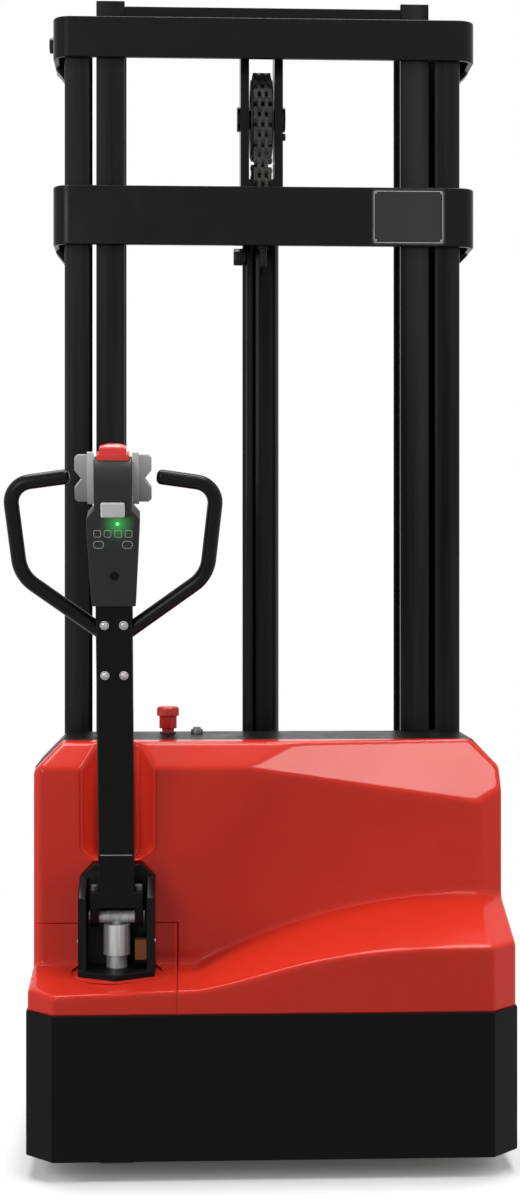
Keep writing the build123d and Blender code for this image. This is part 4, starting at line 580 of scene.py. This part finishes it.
def helper_object(name, shape):
    """A bmesh as an object that only serves a modifier and is removed afterwards."""
    bmesh.ops.recalc_face_normals(shape, faces=shape.faces)
    mesh = bpy.data.meshes.new(name)
    shape.to_mesh(mesh)
    shape.free()
    made = bpy.data.objects.new(name, mesh)
    scene.collection.objects.link(made)
    return made


print("cutting helpers ready")

# %% Lower tier
HALF = 408.0
FRONT, FACE, BACK = 3.0, 167.0, 250.0
SKIRT_TOP, DECK_TOP = 275.0, 704.0
PAST = 40.0
RISE_START, RISE_END = -123.0, 364.0
LEFT_HIGH, FRONT_LOW, FRONT_HIGH = 305.0, 315.5, 381.0
FRONT_HANDLES = ((0.26, 0.3), (0.38, 0.06))
BACK_LOW, BACK_HIGH, BACK_BULGE = 323.5, 444.0, 34.5
CORNER, CORNER_SLOPE = 46.0, (63, -63, 164)
STEPS = 48


def front_curve(t):
    """Front edge of the ledge, a Bezier curve that sweeps up to the right."""
    run, rise = RISE_END - RISE_START, FRONT_HIGH - FRONT_LOW
    (first_x, first_z), (last_x, last_z) = FRONT_HANDLES
    across = (RISE_START, RISE_START + first_x * run, RISE_START + last_x * run, RISE_END)
    height = (FRONT_LOW, FRONT_LOW + first_z * rise, FRONT_HIGH + last_z * rise, FRONT_HIGH)
    weight = ((1 - t) ** 3, 3 * t * (1 - t) ** 2, 3 * t**2 * (1 - t), t**3)
    return tuple(sum(w * value for w, value in zip(weight, row)) for row in (across, height))


def circle_through(first, middle, last):
    """Centre of the circle through three points of a plane."""
    rows = Matrix((middle - first, last - first))
    sums = Vector(((middle + first) / 2 @ rows[0], (last + first) / 2 @ rows[1]))
    return rows.inverted() @ sums


def back_curve(t):
    """Back edge of the ledge, an arc against the upright face."""
    first, last = Vector((RISE_START, BACK_LOW)), Vector((RISE_END, BACK_HIGH))
    middle = Vector(((RISE_START + RISE_END) / 2, (BACK_LOW + BACK_HIGH) / 2 + BACK_BULGE))
    centre = circle_through(first, middle, last)
    turn = (first - centre).angle_signed(last - centre)
    return centre + Matrix.Rotation(-turn * t, 2) @ (first - centre)


def tier_outline(shape, y, left, right, curve):
    """Closed ring of edges: the front view of the lower tier at one depth."""
    below = SKIRT_TOP - PAST
    ring = [(-HALF, below), (-HALF, left)]
    ring += [tuple(curve(step / STEPS)) for step in range(STEPS + 1)]
    ring += [(HALF, right), (HALF, below)]
    corners = [shape.verts.new(truck(x, y, z)) for x, z in ring]
    return [shape.edges.new((corners[index - 1], corners[index])) for index in range(len(corners))]


tier = bmesh.new()
front_ring = tier_outline(tier, FRONT, LEFT_HIGH, FRONT_HIGH, front_curve)
face_ring = tier_outline(tier, FACE, BACK_LOW, BACK_HIGH, back_curve)
bmesh.ops.bridge_loops(tier, edges=front_ring + face_ring)
grown = bmesh.ops.extrude_edge_only(tier, edges=face_ring)["geom"]
back_ring = [edge for edge in edges_of(grown) if len(edge.link_faces) == 1]
back_corners = {corner for edge in back_ring for corner in edge.verts}
bmesh.ops.translate(tier, verts=list(back_corners), vec=(0, (BACK + PAST - FACE) * MM, 0))
for ring in (front_ring, back_ring):
    bmesh.ops.edgeloop_fill(tier, edges=ring)
for side in (-1, 1):
    cut_off(tier, (side * (HALF - CORNER), FRONT, 0), (side, -1, 0))
cut_off(tier, (HALF - CORNER, FRONT, FRONT_HIGH), CORNER_SLOPE)
print("lower tier", len(tier.faces), "faces")
lower_tier = helper_object("lower_tier", tier)

# %% Upper tier
SHOULDER, TOP_EDGE = 657.0, 661.5
tier = bmesh.new()
block(tier, (-HALF, FACE, SKIRT_TOP - PAST), (HALF, BACK + PAST, DECK_TOP))
for point, normal in (
    ((-HALF, 0, SHOULDER), (-47, 0, 46)),  # left shoulder
    ((HALF, 0, SHOULDER), (47, 0, 46)),  # right shoulder
    ((0, FACE, TOP_EDGE), (0, -1, 1)),  # slope along the top
    ((-HALF + 13, FACE, 0), (-1, -1, 0)),  # left upright edge
    ((HALF - 44, FACE, 0), (22, -44, 0)),  # right upright edge
    ((-43, FACE, TOP_EDGE), (4898, -42531.5, 32153)),  # slanted facet
):
    cut_off(tier, point, normal)
print("upper tier", len(tier.faces), "faces")
upper_tier = helper_object("upper_tier", tier)

# %% Channel for the tiller
POST_X, POST_Y = -262.0, 125.0
CHANNEL_HALF, CHANNEL_BACK_HALF, CHANNEL_DEPTH = 63.5, 34.5, 45.0
CHANNEL_FOOT, FOOT_RISE = 506.0, 18.0
channel = bmesh.new()
block(
    channel, (POST_X - CHANNEL_HALF, FACE - CHANNEL_DEPTH, CHANNEL_FOOT),
    (POST_X + CHANNEL_HALF, FACE + CHANNEL_DEPTH, DECK_TOP + CHANNEL_DEPTH),
)
narrowing = CHANNEL_HALF - CHANNEL_BACK_HALF
for side in (-1, 1):
    back_edge = POST_X + side * CHANNEL_BACK_HALF
    cut_off(channel, (back_edge, FACE + CHANNEL_DEPTH, 0), (side * CHANNEL_DEPTH, narrowing, 0))
    cut_off(channel, (back_edge, 0, CHANNEL_FOOT), (side * FOOT_RISE, 0, -narrowing))
print("channel", len(channel.faces), "faces")
channel_cutter = helper_object("channel_cutter", channel)

# %% Well for the tiller's seat
WELL_RADIUS, WELL_TOP_RADIUS, POST_HOLE = 77.13, 60.5, 34.0
WELL_FLOOR, WELL_SHOULDER, WELL_TOP = 316.0, 478.0, 503.0
WELL_STEPS = 96
UP = Vector((0, 0, 1))


def spun(shape, points, centre, axis, steps):
    """Spin a line of points round an axis into a closed skin."""
    corners = [shape.verts.new(point) for point in points]
    edges = [shape.edges.new(pair) for pair in zip(corners, corners[1:])]
    bmesh.ops.spin(
        shape, geom=corners + edges, cent=centre, axis=axis, angle=math.tau, steps=steps, use_merge=True
    )
    bmesh.ops.remove_doubles(shape, verts=shape.verts, dist=NEAR)


foot = SKIRT_TOP - 2 * PAST
profile = (
    (0, WELL_TOP), (WELL_TOP_RADIUS, WELL_TOP), (WELL_RADIUS, WELL_SHOULDER),
    (WELL_RADIUS, WELL_FLOOR), (POST_HOLE, WELL_FLOOR), (POST_HOLE, foot), (0, foot),
)
well = bmesh.new()
points = [truck(POST_X + radius, POST_Y, z) for radius, z in profile]
spun(well, points, truck(POST_X, POST_Y, 0), UP, WELL_STEPS)
print("well", len(well.faces), "faces")
well_cutter = helper_object("well_cutter", well)


# %% Melt the tiers into one soft skin
def combine(made, other, operation):
    """Add a Boolean modifier that joins or takes away another object."""
    change = made.modifiers.new(other.name, "BOOLEAN")
    change.operation = operation
    change.object = other
    change.use_self = True


combine(lower_tier, upper_tier, "UNION")
combine(lower_tier, channel_cutter, "DIFFERENCE")
melt = lower_tier.modifiers.new("melt", "REMESH")
melt.mode = "VOXEL"
melt.voxel_size = 0.004
soften = lower_tier.modifiers.new("soften", "SMOOTH")
soften.factor = 0.5
soften.iterations = 9
combine(lower_tier, well_cutter, "DIFFERENCE")
helpers = (lower_tier, upper_tier, channel_cutter, well_cutter)
bpy.context.view_layer.update()
melted = lower_tier.evaluated_get(bpy.context.evaluated_depsgraph_get())
cover_mesh = bpy.data.meshes.new_from_object(melted)
for helper in helpers:
    bpy.data.objects.remove(helper)
print("soft skin", len(cover_mesh.polygons), "faces")

# %% [markdown]
# ### Hood and access panel
# The skin is open below and behind. A seam parts the access panel round the tiller from the hood.
# Both are cut from the same skin with plane cuts, so they meet exactly, and a Solidify modifier
# gives them their wall.

# %% Part the panel from the hood
SEAM_X, SEAM_Z, SEAM_GAP = -160.0, 395.0, 0.8


def cover_part(keep):
    """Part of the soft skin whose faces pass a test of their middle, in millimetres of the truck."""
    shape = bmesh.new()
    shape.from_mesh(cover_mesh)
    for point, normal in (
        ((0, 0, SKIRT_TOP), (0, 0, -1)),
        ((0, BACK, 0), (0, 1, 0)),
        ((SEAM_X, 0, 0), (1, 0, 0)),
        ((SEAM_X + SEAM_GAP, 0, 0), (1, 0, 0)),
        ((0, 0, SEAM_Z), (0, 0, 1)),
        ((0, 0, SEAM_Z + SEAM_GAP), (0, 0, 1)),
    ):
        slice_at(shape, point, normal)
    origin = truck(0, 0, 0)
    surplus = [face for face in shape.faces if not keep((face.calc_center_median() - origin) / MM)]
    bmesh.ops.delete(shape, geom=surplus, context="FACES")
    return shape


def in_cover(middle):
    return middle.z > SKIRT_TOP and middle.y < BACK


def in_panel(middle):
    return in_cover(middle) and middle.x < SEAM_X and middle.z < SEAM_Z


def in_hood(middle):
    return in_cover(middle) and (middle.x > SEAM_X + SEAM_GAP or middle.z > SEAM_Z + SEAM_GAP)


for node, keep in (("hood", in_hood), ("access_panel", in_panel)):
    made = piece(node + "_moulded", cover_part(keep), red_paint, crease=50)
    wall = made.modifiers.new("wall", "SOLIDIFY")
    wall.thickness = 0.004
    wall.offset = -1.0
    stand_for(made, node)
    print(made.name, len(made.data.polygons), "faces")
bpy.data.meshes.remove(cover_mesh)

# %% [markdown]
# ## Mast and lift cylinder
# The columns are rolled channels with a visible edge radius, and the beams are bent from flat bar.
# They are black gloss paint, and the faint pale streaks along the columns and the lift cylinder are
# painted sheen. The forks and the small brackets are satin black, the sheave is machined iron, the rod
# is chrome, and the rollers are ground steel.

# %% Dress the mast
for node, paint, radius in (
    ("outer_column_left", column_sheen_paint, 6.0),
    ("outer_column_right", column_sheen_paint, 6.0),
    ("inner_column_left", column_sheen_paint, 6.0),
    ("inner_column_right", column_sheen_paint, 6.0),
    ("top_beam", mast_paint, 2.5),
    ("second_beam", mast_paint, 2.5),
    ("inner_top_beam", mast_paint, 2.0),
    ("inner_bottom_beam", mast_paint, 1.5),
    ("lift_cylinder", column_sheen_paint, 1.5),
    ("cylinder_clamp", frame_paint, 1.2),
    ("return_pipe", mast_paint, 0.8),
    ("piston_rod", rod_chrome, 0.6),
    ("sheave_frame", mast_paint, 1.2),
    ("sheave_axle", mast_paint, 1.0),
    ("chain_sheave", sheave_iron, 0.8),
    ("chain_anchor", frame_paint, 0.6),
    ("mast_rollers_lower", roller_steel, 0.8),
    ("mast_rollers_upper", roller_steel, 0.8),
    ("carriage_frame", mast_paint, 2.0),
    ("left_fork", frame_paint, 2.5),
    ("right_fork", frame_paint, 2.5),
    ("carriage_rollers_lower", roller_steel, 0.8),
    ("carriage_rollers_upper", roller_steel, 0.8),
):
    rounded(node, paint, radius)
print("mast dressed")

# %% [markdown]
# ## Tiller
# The operator steers and drives with the tiller, so its parts have generous edges, and the tube ends
# of the handle are almost round. The knobs have lighter collars, and the key switch is a bare metal
# barrel beside the black ring of the stop button, so these parts get two finishes.

# %% Dress the tiller and the switches
COLLAR_REACH = 38
for node, paint, radius in (
    ("steering_post", brushed_steel, 1.0),
    ("tiller_seat", arm_paint, 1.8),
    ("brake_switch", brown_plastic, 1.0),
    ("tiller_arm", arm_paint, 1.5),
    ("tiller_yoke", arm_paint, 1.5),
    ("pivot_pin", brushed_steel, 0.8),
    ("head_housing", head_plastic, 4.0),
    ("belly_switch", red_plastic, 2.0),
    ("horn_button", button_plastic, 3.0),
    ("estop_button", stop_plastic, 1.5),
    ("key_knob", roller_steel, 0.6),
):
    rounded(node, paint, radius)
rounded("handlebar", grip_rubber, 9.0, segments=5, clamp=False)
knobs = rounded("throttle_knobs", knob_plastic, 3.0)
knobs.data.materials.append(collar_plastic)
for face in knobs.data.polygons:
    face.material_index = int(abs(face.center.x - truck(POST_X, 0, 0).x) < COLLAR_REACH * MM)
switches = rounded("switch_bezels", black_plastic, 0.8)
switches.data.materials.append(roller_steel)
switch_low, switch_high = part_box("switch_bezels")
for face in switches.data.polygons:
    face.material_index = int(face.center.x > (switch_low.x + switch_high.x) / 2)
print("tiller dressed")

# %% [markdown]
# ## Fittings
# Screws, nuts, plates and keys are small, but they tell the eye how large the truck is and how it is
# put together. Three helpers make them: a turned or hexagon head with a bevelled rim, a dome spun
# from an arc, and a plate with round corners. Each takes a place, whose Z axis points out.


# %% Places for fittings
def facing(point, outward):
    """A place at a point of the truck, in millimetres, with its Z axis pointing outward."""
    turn = Vector(outward).to_track_quat("Z", "Y").to_matrix().to_4x4()
    return Matrix.Translation(truck(*point)) @ turn


def shifted(place, x, y, z):
    """A place moved along its own axes, in millimetres."""
    return place @ Matrix.Translation((x * MM, y * MM, z * MM))


def outward_face(shape, corners, place):
    """The face of a new shape that points along the Z axis of its place."""
    shape.normal_update()
    axis = place.to_3x3() @ UP
    faces = {face for corner in corners for face in corner.link_faces}
    return max(faces, key=lambda face: face.normal.dot(axis))


def fitting(name, shape, paint, body):
    """A finished fitting that moves with a body."""
    bmesh.ops.recalc_face_normals(shape, faces=shape.faces)
    made = piece(name, shape, paint)
    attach(made, body)
    return made


print("places ready")

# %% Heads, domes and plates
RIM_SEGMENTS, CORNER_SEGMENTS = 2, 5
ARC_STEPS, DOME_STEPS = 6, 24
SOCKET_FLOOR = 0.3
ON_WALL, ON_DOME = 0.01, 10
PARALLEL = 0.9


def bevelled(shape, edges, width, segments):
    """Bevel some edges by a width in millimetres. Returns the new vertices."""
    return bmesh.ops.bevel(
        shape, geom=edges, offset=width * MM, offset_type="OFFSET", segments=segments, profile=0.5,
        affect="EDGES", material=-1, clamp_overlap=True,
    )["verts"]


def add_head(shape, place, sides, diameter, height, edge):
    """A turned or hexagon head that stands on a place, with its outer rim bevelled, in millimetres."""
    radius = diameter / 2 * MM
    corners = bmesh.ops.create_cone(
        shape, cap_ends=True, segments=sides, radius1=radius, radius2=radius, depth=height * MM,
        matrix=shifted(place, 0, 0, height / 2),
    )["verts"]
    bevelled(shape, list(outward_face(shape, corners, place).edges), edge, RIM_SEGMENTS)


def make_hexagon(shape, place, radius):
    """Pull the round wall of a socket in to the flats of a hexagon."""
    back = place.inverted()
    for vert in shape.verts:
        spot = back @ vert.co
        off_wall = abs(math.hypot(spot.x, spot.y) - radius)
        if off_wall < ON_WALL * MM and abs(spot.z) < ON_DOME * MM:
            turn = math.atan2(spot.y, spot.x) % math.radians(60) - math.radians(30)
            spot.xy *= math.cos(math.radians(30)) / math.cos(turn)
            vert.co = place @ spot


def add_dome(shape, place, diameter, height, socket=0.0):
    """A dome spun from an arc over a flat base, with a hexagon socket if it has one, in millimetres."""
    angles = [math.acos(socket / diameter) * step / ARC_STEPS for step in range(ARC_STEPS + 1)]
    line = [(0.0, 0.0)]
    line += [(diameter / 2 * math.cos(angle), height * math.sin(angle)) for angle in angles]
    if socket:
        line += [(socket / 2, height * SOCKET_FLOOR), (0.0, height * SOCKET_FLOOR)]
    points = [place @ Vector((x * MM, 0, z * MM)) for x, z in line]
    spun(shape, points, place.translation, place.to_3x3() @ UP, DOME_STEPS)
    if socket:
        make_hexagon(shape, place, socket / 2 * MM)


def add_plate(shape, place, width, height, thick, corner):
    """A plate with round corners that lies on a place, in millimetres. Returns its outer face."""
    size = Matrix.Diagonal((width * MM, height * MM, thick * MM, 1))
    middle = shifted(place, 0, 0, thick / 2)
    corners = bmesh.ops.create_cube(shape, size=1.0, matrix=middle @ size)["verts"]
    axis = place.to_3x3() @ UP
    upright = []
    for edge in {edge for vert in corners for edge in vert.link_edges}:
        first, last = edge.verts
        if abs((first.co - last.co).normalized().dot(axis)) > PARALLEL:
            upright.append(edge)
    return outward_face(shape, bevelled(shape, upright, corner, CORNER_SEGMENTS), place)


def framed(shape, face, width):
    """Inset a face by a width in millimetres. Returns the faces of the new rim."""
    return bmesh.ops.inset_region(
        shape, faces=[face], thickness=width * MM, depth=0.0, use_even_offset=True
    )["faces"]


print("fitting helpers ready")

# %% [markdown]
# ### Control head
# A membrane with six keys and a lamp lies on the head, under the horn button, and a plug closes a
# hole below it. A key is a plate whose outer face is inset once, so that a pale rim surrounds a dark
# middle. The lamp shines through the membrane: a spherical gradient round it drives the emission
# colour.

# %% Lamp light
LEAN = 14
HEAD_FACE, MEMBRANE = -33.0, 0.8
KEY_FACE = HEAD_FACE - MEMBRANE
LAMP_GREEN = (0.03, 0.42, 0.07, 1)
pin_low, pin_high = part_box("pivot_pin")
TILLER = Matrix.Translation((pin_low + pin_high) / 2) @ Matrix.Rotation(math.radians(LEAN), 4, "X")


def on_tiller(x, depth, along, tilt=0.0):
    """A place on the operator's side of the tiller: across, depth and distance from the pivot."""
    return shifted(TILLER, x, depth, along) @ Matrix.Rotation(math.radians(90 + tilt), 4, "X")


LAMP_SPOT = on_tiller(7.5, KEY_FACE, along=692)


def lit_by_lamp(material, reach, strength):
    """Let a finish glow green round the lamp, as a thin membrane over a lamp does."""
    nodes, links = material.node_tree.nodes, material.node_tree.links
    place = nodes.new("ShaderNodeTexCoord")
    centred = nodes.new("ShaderNodeMapping")
    centred.vector_type = "TEXTURE"
    centred.inputs["Location"].default_value = LAMP_SPOT.translation
    centred.inputs["Scale"].default_value = (reach * MM, reach * MM, reach * MM)
    links.new(place.outputs["Object"], centred.inputs["Vector"])
    ball = nodes.new("ShaderNodeTexGradient")
    ball.gradient_type = "QUADRATIC_SPHERE"
    links.new(centred.outputs["Vector"], ball.inputs["Vector"])
    glow = nodes.new("ShaderNodeMix")
    glow.data_type = "RGBA"
    glow.inputs["A"].default_value = (0, 0, 0, 1)
    glow.inputs["B"].default_value = LAMP_GREEN
    links.new(ball.outputs["Fac"], glow.inputs["Factor"])
    shader = next(node for node in nodes if node.type == "BSDF_PRINCIPLED")
    links.new(glow.outputs["Result"], shader.inputs["Emission Color"])
    shader.inputs["Emission Strength"].default_value = strength


lit_by_lamp(panel_plastic, reach=32, strength=1.0)
lamp_plastic = finish(
    "lamp_green_plastic", (0.2, 0.7, 0.25), mottle=0.05, roughness=(0.15, 0.22), grain=0.02,
)
lit_by_lamp(lamp_plastic, reach=10, strength=3.0)
print("lamp at", [round(value, 3) for value in LAMP_SPOT.translation])

# %% Membrane, keys, lamp and plug
KEY_THICK, KEY_RIM, PLUG_RIM = 0.7, 1.1, 0.9
membrane = bmesh.new()
spot = on_tiller(0, HEAD_FACE, along=675)
add_plate(membrane, spot, width=70, height=57, thick=MEMBRANE, corner=3)
made = fitting("head_membrane", membrane, panel_plastic, "tiller")
round_edges(made, radius=0.3)

keys = bmesh.new()
for x, along, width, height, corner in (
    (-25.0, 676, 12, 12, 2.5),
    (-8.5, 676, 12, 12, 2.5),
    (8.5, 676, 12, 12, 2.5),
    (25.0, 676, 12, 12, 2.5),
    (-23.0, 658, 17, 12.5, 5.5),
    (23.0, 658, 17, 12.5, 5.5),
):
    top = add_plate(keys, on_tiller(x, KEY_FACE, along), width, height, KEY_THICK, corner)
    framed(keys, top, KEY_RIM)
    top.material_index = 1
made = fitting("head_keys", keys, key_plastic, "tiller")
made.data.materials.append(panel_plastic)

lamp = bmesh.new()
add_dome(lamp, LAMP_SPOT, diameter=6.0, height=1.4)
fitting("head_lamp", lamp, lamp_plastic, "tiller")
plug = bmesh.new()
plug_spot = on_tiller(1.5, -29.9, along=605, tilt=5.4)
add_head(plug, plug_spot, sides=28, diameter=15, height=PLUG_RIM, edge=0.4)
add_head(plug, shifted(plug_spot, 0, 0, PLUG_RIM), sides=6, diameter=9.5, height=1.1, edge=0.4)
fitting("head_plug", plug, arm_paint, "tiller")
print("control head fitted")

# %% [markdown]
# ### Tiller arm and seat
# Four dome-head screws hold the handle to the arm, and a thin bright strip across the arm's foot is a
# painted highlight along its edge.
# Smaller screws sit on the yoke's shoulders and on the sides of the seat. The domes have sockets for a
# hexagon key. A round plate under the seat fills the well in the cover and turns with the seat, which
# is why it can't follow the slope of the ledge.

# %% Screws, painted highlight and turning plate
ARM_FACE, WASHER = -20.0, 1.0
SEAT_HALF, SEAT_SCREW_Y, SEAT_SCREW_Z = 64.8, 105, 377
PLATE_GAP = 0.4
arm_screws = bmesh.new()
for x in (-15.6, 15.6):
    for along in (520, 435):
        washer, dome = on_tiller(x, ARM_FACE, along), on_tiller(x, ARM_FACE - WASHER, along)
        add_head(arm_screws, washer, sides=28, diameter=15, height=WASHER, edge=0.4)
        add_dome(arm_screws, dome, diameter=12.5, height=4.0, socket=7.0)
fitting("arm_screws", arm_screws, pin_steel, "tiller")

seat_screws = bmesh.new()
for side in (-1, 1):
    spot = facing((POST_X + side * SEAT_HALF, SEAT_SCREW_Y, SEAT_SCREW_Z), (side, 0, 0))
    add_dome(seat_screws, spot, diameter=8.0, height=2.2, socket=4.6)
fitting("seat_screws", seat_screws, pin_steel, "steering")

turning_plate = bmesh.new()
spot = facing((POST_X, POST_Y, WELL_FLOOR + PLATE_GAP), UP)
add_head(turning_plate, spot, sides=WELL_STEPS, diameter=152.4, height=3.6, edge=0.5)
fitting("turning_plate", turning_plate, red_paint, "steering")

yoke_screws = bmesh.new()
for side in (-1, 1):
    spot = shifted(TILLER, side * 37, -8, 52)
    add_head(yoke_screws, spot, sides=6, diameter=13, height=9, edge=1.2)
fitting("yoke_screws", yoke_screws, cast_iron, "tiller")
# Painted highlight: a thin bright steel strip across the arm's foot stands in for the light along its
# edge.
arm_painted_highlight = bmesh.new()
add_plate(arm_painted_highlight, on_tiller(0, ARM_FACE, along=120), width=54, height=1.6, thick=0.5, corner=0.3)
fitting("arm_painted_highlight", arm_painted_highlight, roller_steel, "tiller")
print("tiller screws fitted")

# %% [markdown]
# ### Mast fittings
# A large bolt holds the left end of the top beam, and a small one the frame of the sheave. Under the
# second beam a clip holds the return pipe, and the chain anchor's stud comes through with its nuts. A
# blank plate is riveted to the beam.

# %% Bolts, clip and stud
BOLT_WASHER, CLIP_GAP, CLIP = 2.0, 2.0, 6.0
mast_bolts = bmesh.new()
beam_bolt = facing((-392, 500, 1998), (-1, 0, 0))
add_head(mast_bolts, beam_bolt, sides=32, diameter=34, height=BOLT_WASHER, edge=0.5)
spot = shifted(beam_bolt, 0, 0, BOLT_WASHER)
add_head(mast_bolts, spot, sides=6, diameter=30, height=8.0, edge=1.6)
pipe_clip = shifted(facing((-30, 478, 1596), (-1, 0, 0)), 0, 0, CLIP_GAP)
add_plate(mast_bolts, pipe_clip, width=36, height=30, thick=CLIP, corner=6)
add_head(mast_bolts, shifted(pipe_clip, 0, 0, CLIP), sides=6, diameter=32, height=16.0, edge=2.0)
fitting("mast_bolts", mast_bolts, mast_paint, "chassis")

anchor_stud = bmesh.new()
below = facing((0, 443, 1631), (0, 0, -1))
add_head(anchor_stud, below, sides=28, diameter=14, height=59, edge=1.6)
for drop in (2, 15):
    add_head(anchor_stud, shifted(below, 0, 0, drop), sides=6, diameter=24, height=11, edge=1.4)
fitting("anchor_stud", anchor_stud, frame_paint, "chassis")

frame_bolt = bmesh.new()
spot = facing((40.1, 523.5, 1834), (1, 0, 0))
add_head(frame_bolt, spot, sides=6, diameter=14, height=7.0, edge=1.0)
fitting("sheave_frame_bolt", frame_bolt, mast_paint, "inner_mast")
print("mast bolts fitted")

# %% Blank plate
PLATE_THICK, MARGIN, LINE = 1.0, 4.0, 0.9
blank_plate = bmesh.new()
plate_place = facing((271.5, 420, 1663.5), (0, -1, 0))
top = add_plate(blank_plate, plate_place, width=138, height=105, thick=PLATE_THICK, corner=7)
framed(blank_plate, top, MARGIN)
for face in framed(blank_plate, top, LINE):
    face.material_index = 1
made = fitting("blank_plate", blank_plate, plate_black, "chassis")
made.data.materials.append(plate_line)
rivets = bmesh.new()
for x in (-61, 61):
    for y in (-44.5, 44.5):
        add_dome(rivets, shifted(plate_place, x, y, PLATE_THICK), diameter=4.5, height=1.2)
fitting("plate_rivets", rivets, roller_steel, "chassis")
print("plate fitted")

# %% [markdown]
# ## Lift chain
# A leaf chain runs from the anchor over the sheave and down to the carriage. Every joint has a pin
# with riveted heads. The two straight runs follow a body at each end; here they keep their place,
# baked into their meshes, and the half turn rides with the sheave.

# %% Chain with its pins
PITCH, WRAP_LINKS, REAR_JOINTS, FRONT_JOINTS = 19.05, 13, 11, 84
REAR_Y, SHEAVE_Y, FRONT_CHAIN_Y = 444.5, 523.52, 602.54
SHEAVE_Z, REAR_END, FRONT_END = 1867.0, 1657.45, 266.8


def chain_run(node, joints):
    """A run of chain as a bmesh, with a riveted pin head on both sides of every joint."""
    shape = solid_copy(node)
    low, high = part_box(node)
    half = (high.x - low.x) / 2 / MM
    for y, z in joints:
        for side in (-1, 1):
            spot = facing((side * half, y, z), (side, 0, 0))
            add_head(shape, spot, sides=12, diameter=8.0, height=1.2, edge=0.4)
    return shape


def dress_chain(node, joints):
    """Show a run of chain with its pins in place of the solid one."""
    made = piece(node + "_pinned", chain_run(node, joints), chain_steel)
    round_edges(made, radius=0.5)
    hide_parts(node)
    return made


radius = SHEAVE_Y - REAR_Y
wrap = []
for joint in range(WRAP_LINKS + 1):
    angle = math.pi * joint / WRAP_LINKS
    wrap.append((SHEAVE_Y - radius * math.cos(angle), SHEAVE_Z + radius * math.sin(angle)))
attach(dress_chain("chain_wrap", wrap), "inner_mast")
rear = [(REAR_Y, REAR_END + PITCH * link) for link in range(REAR_JOINTS)]
rear_run = dress_chain("chain_rear_strand", rear)
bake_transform(rear_run)
front = [(FRONT_CHAIN_Y, FRONT_END + PITCH * link) for link in range(FRONT_JOINTS)]
front_run = dress_chain("chain_front_strand", front)
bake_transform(front_run)
print(len(wrap) + len(rear) + len(front), "chain joints")
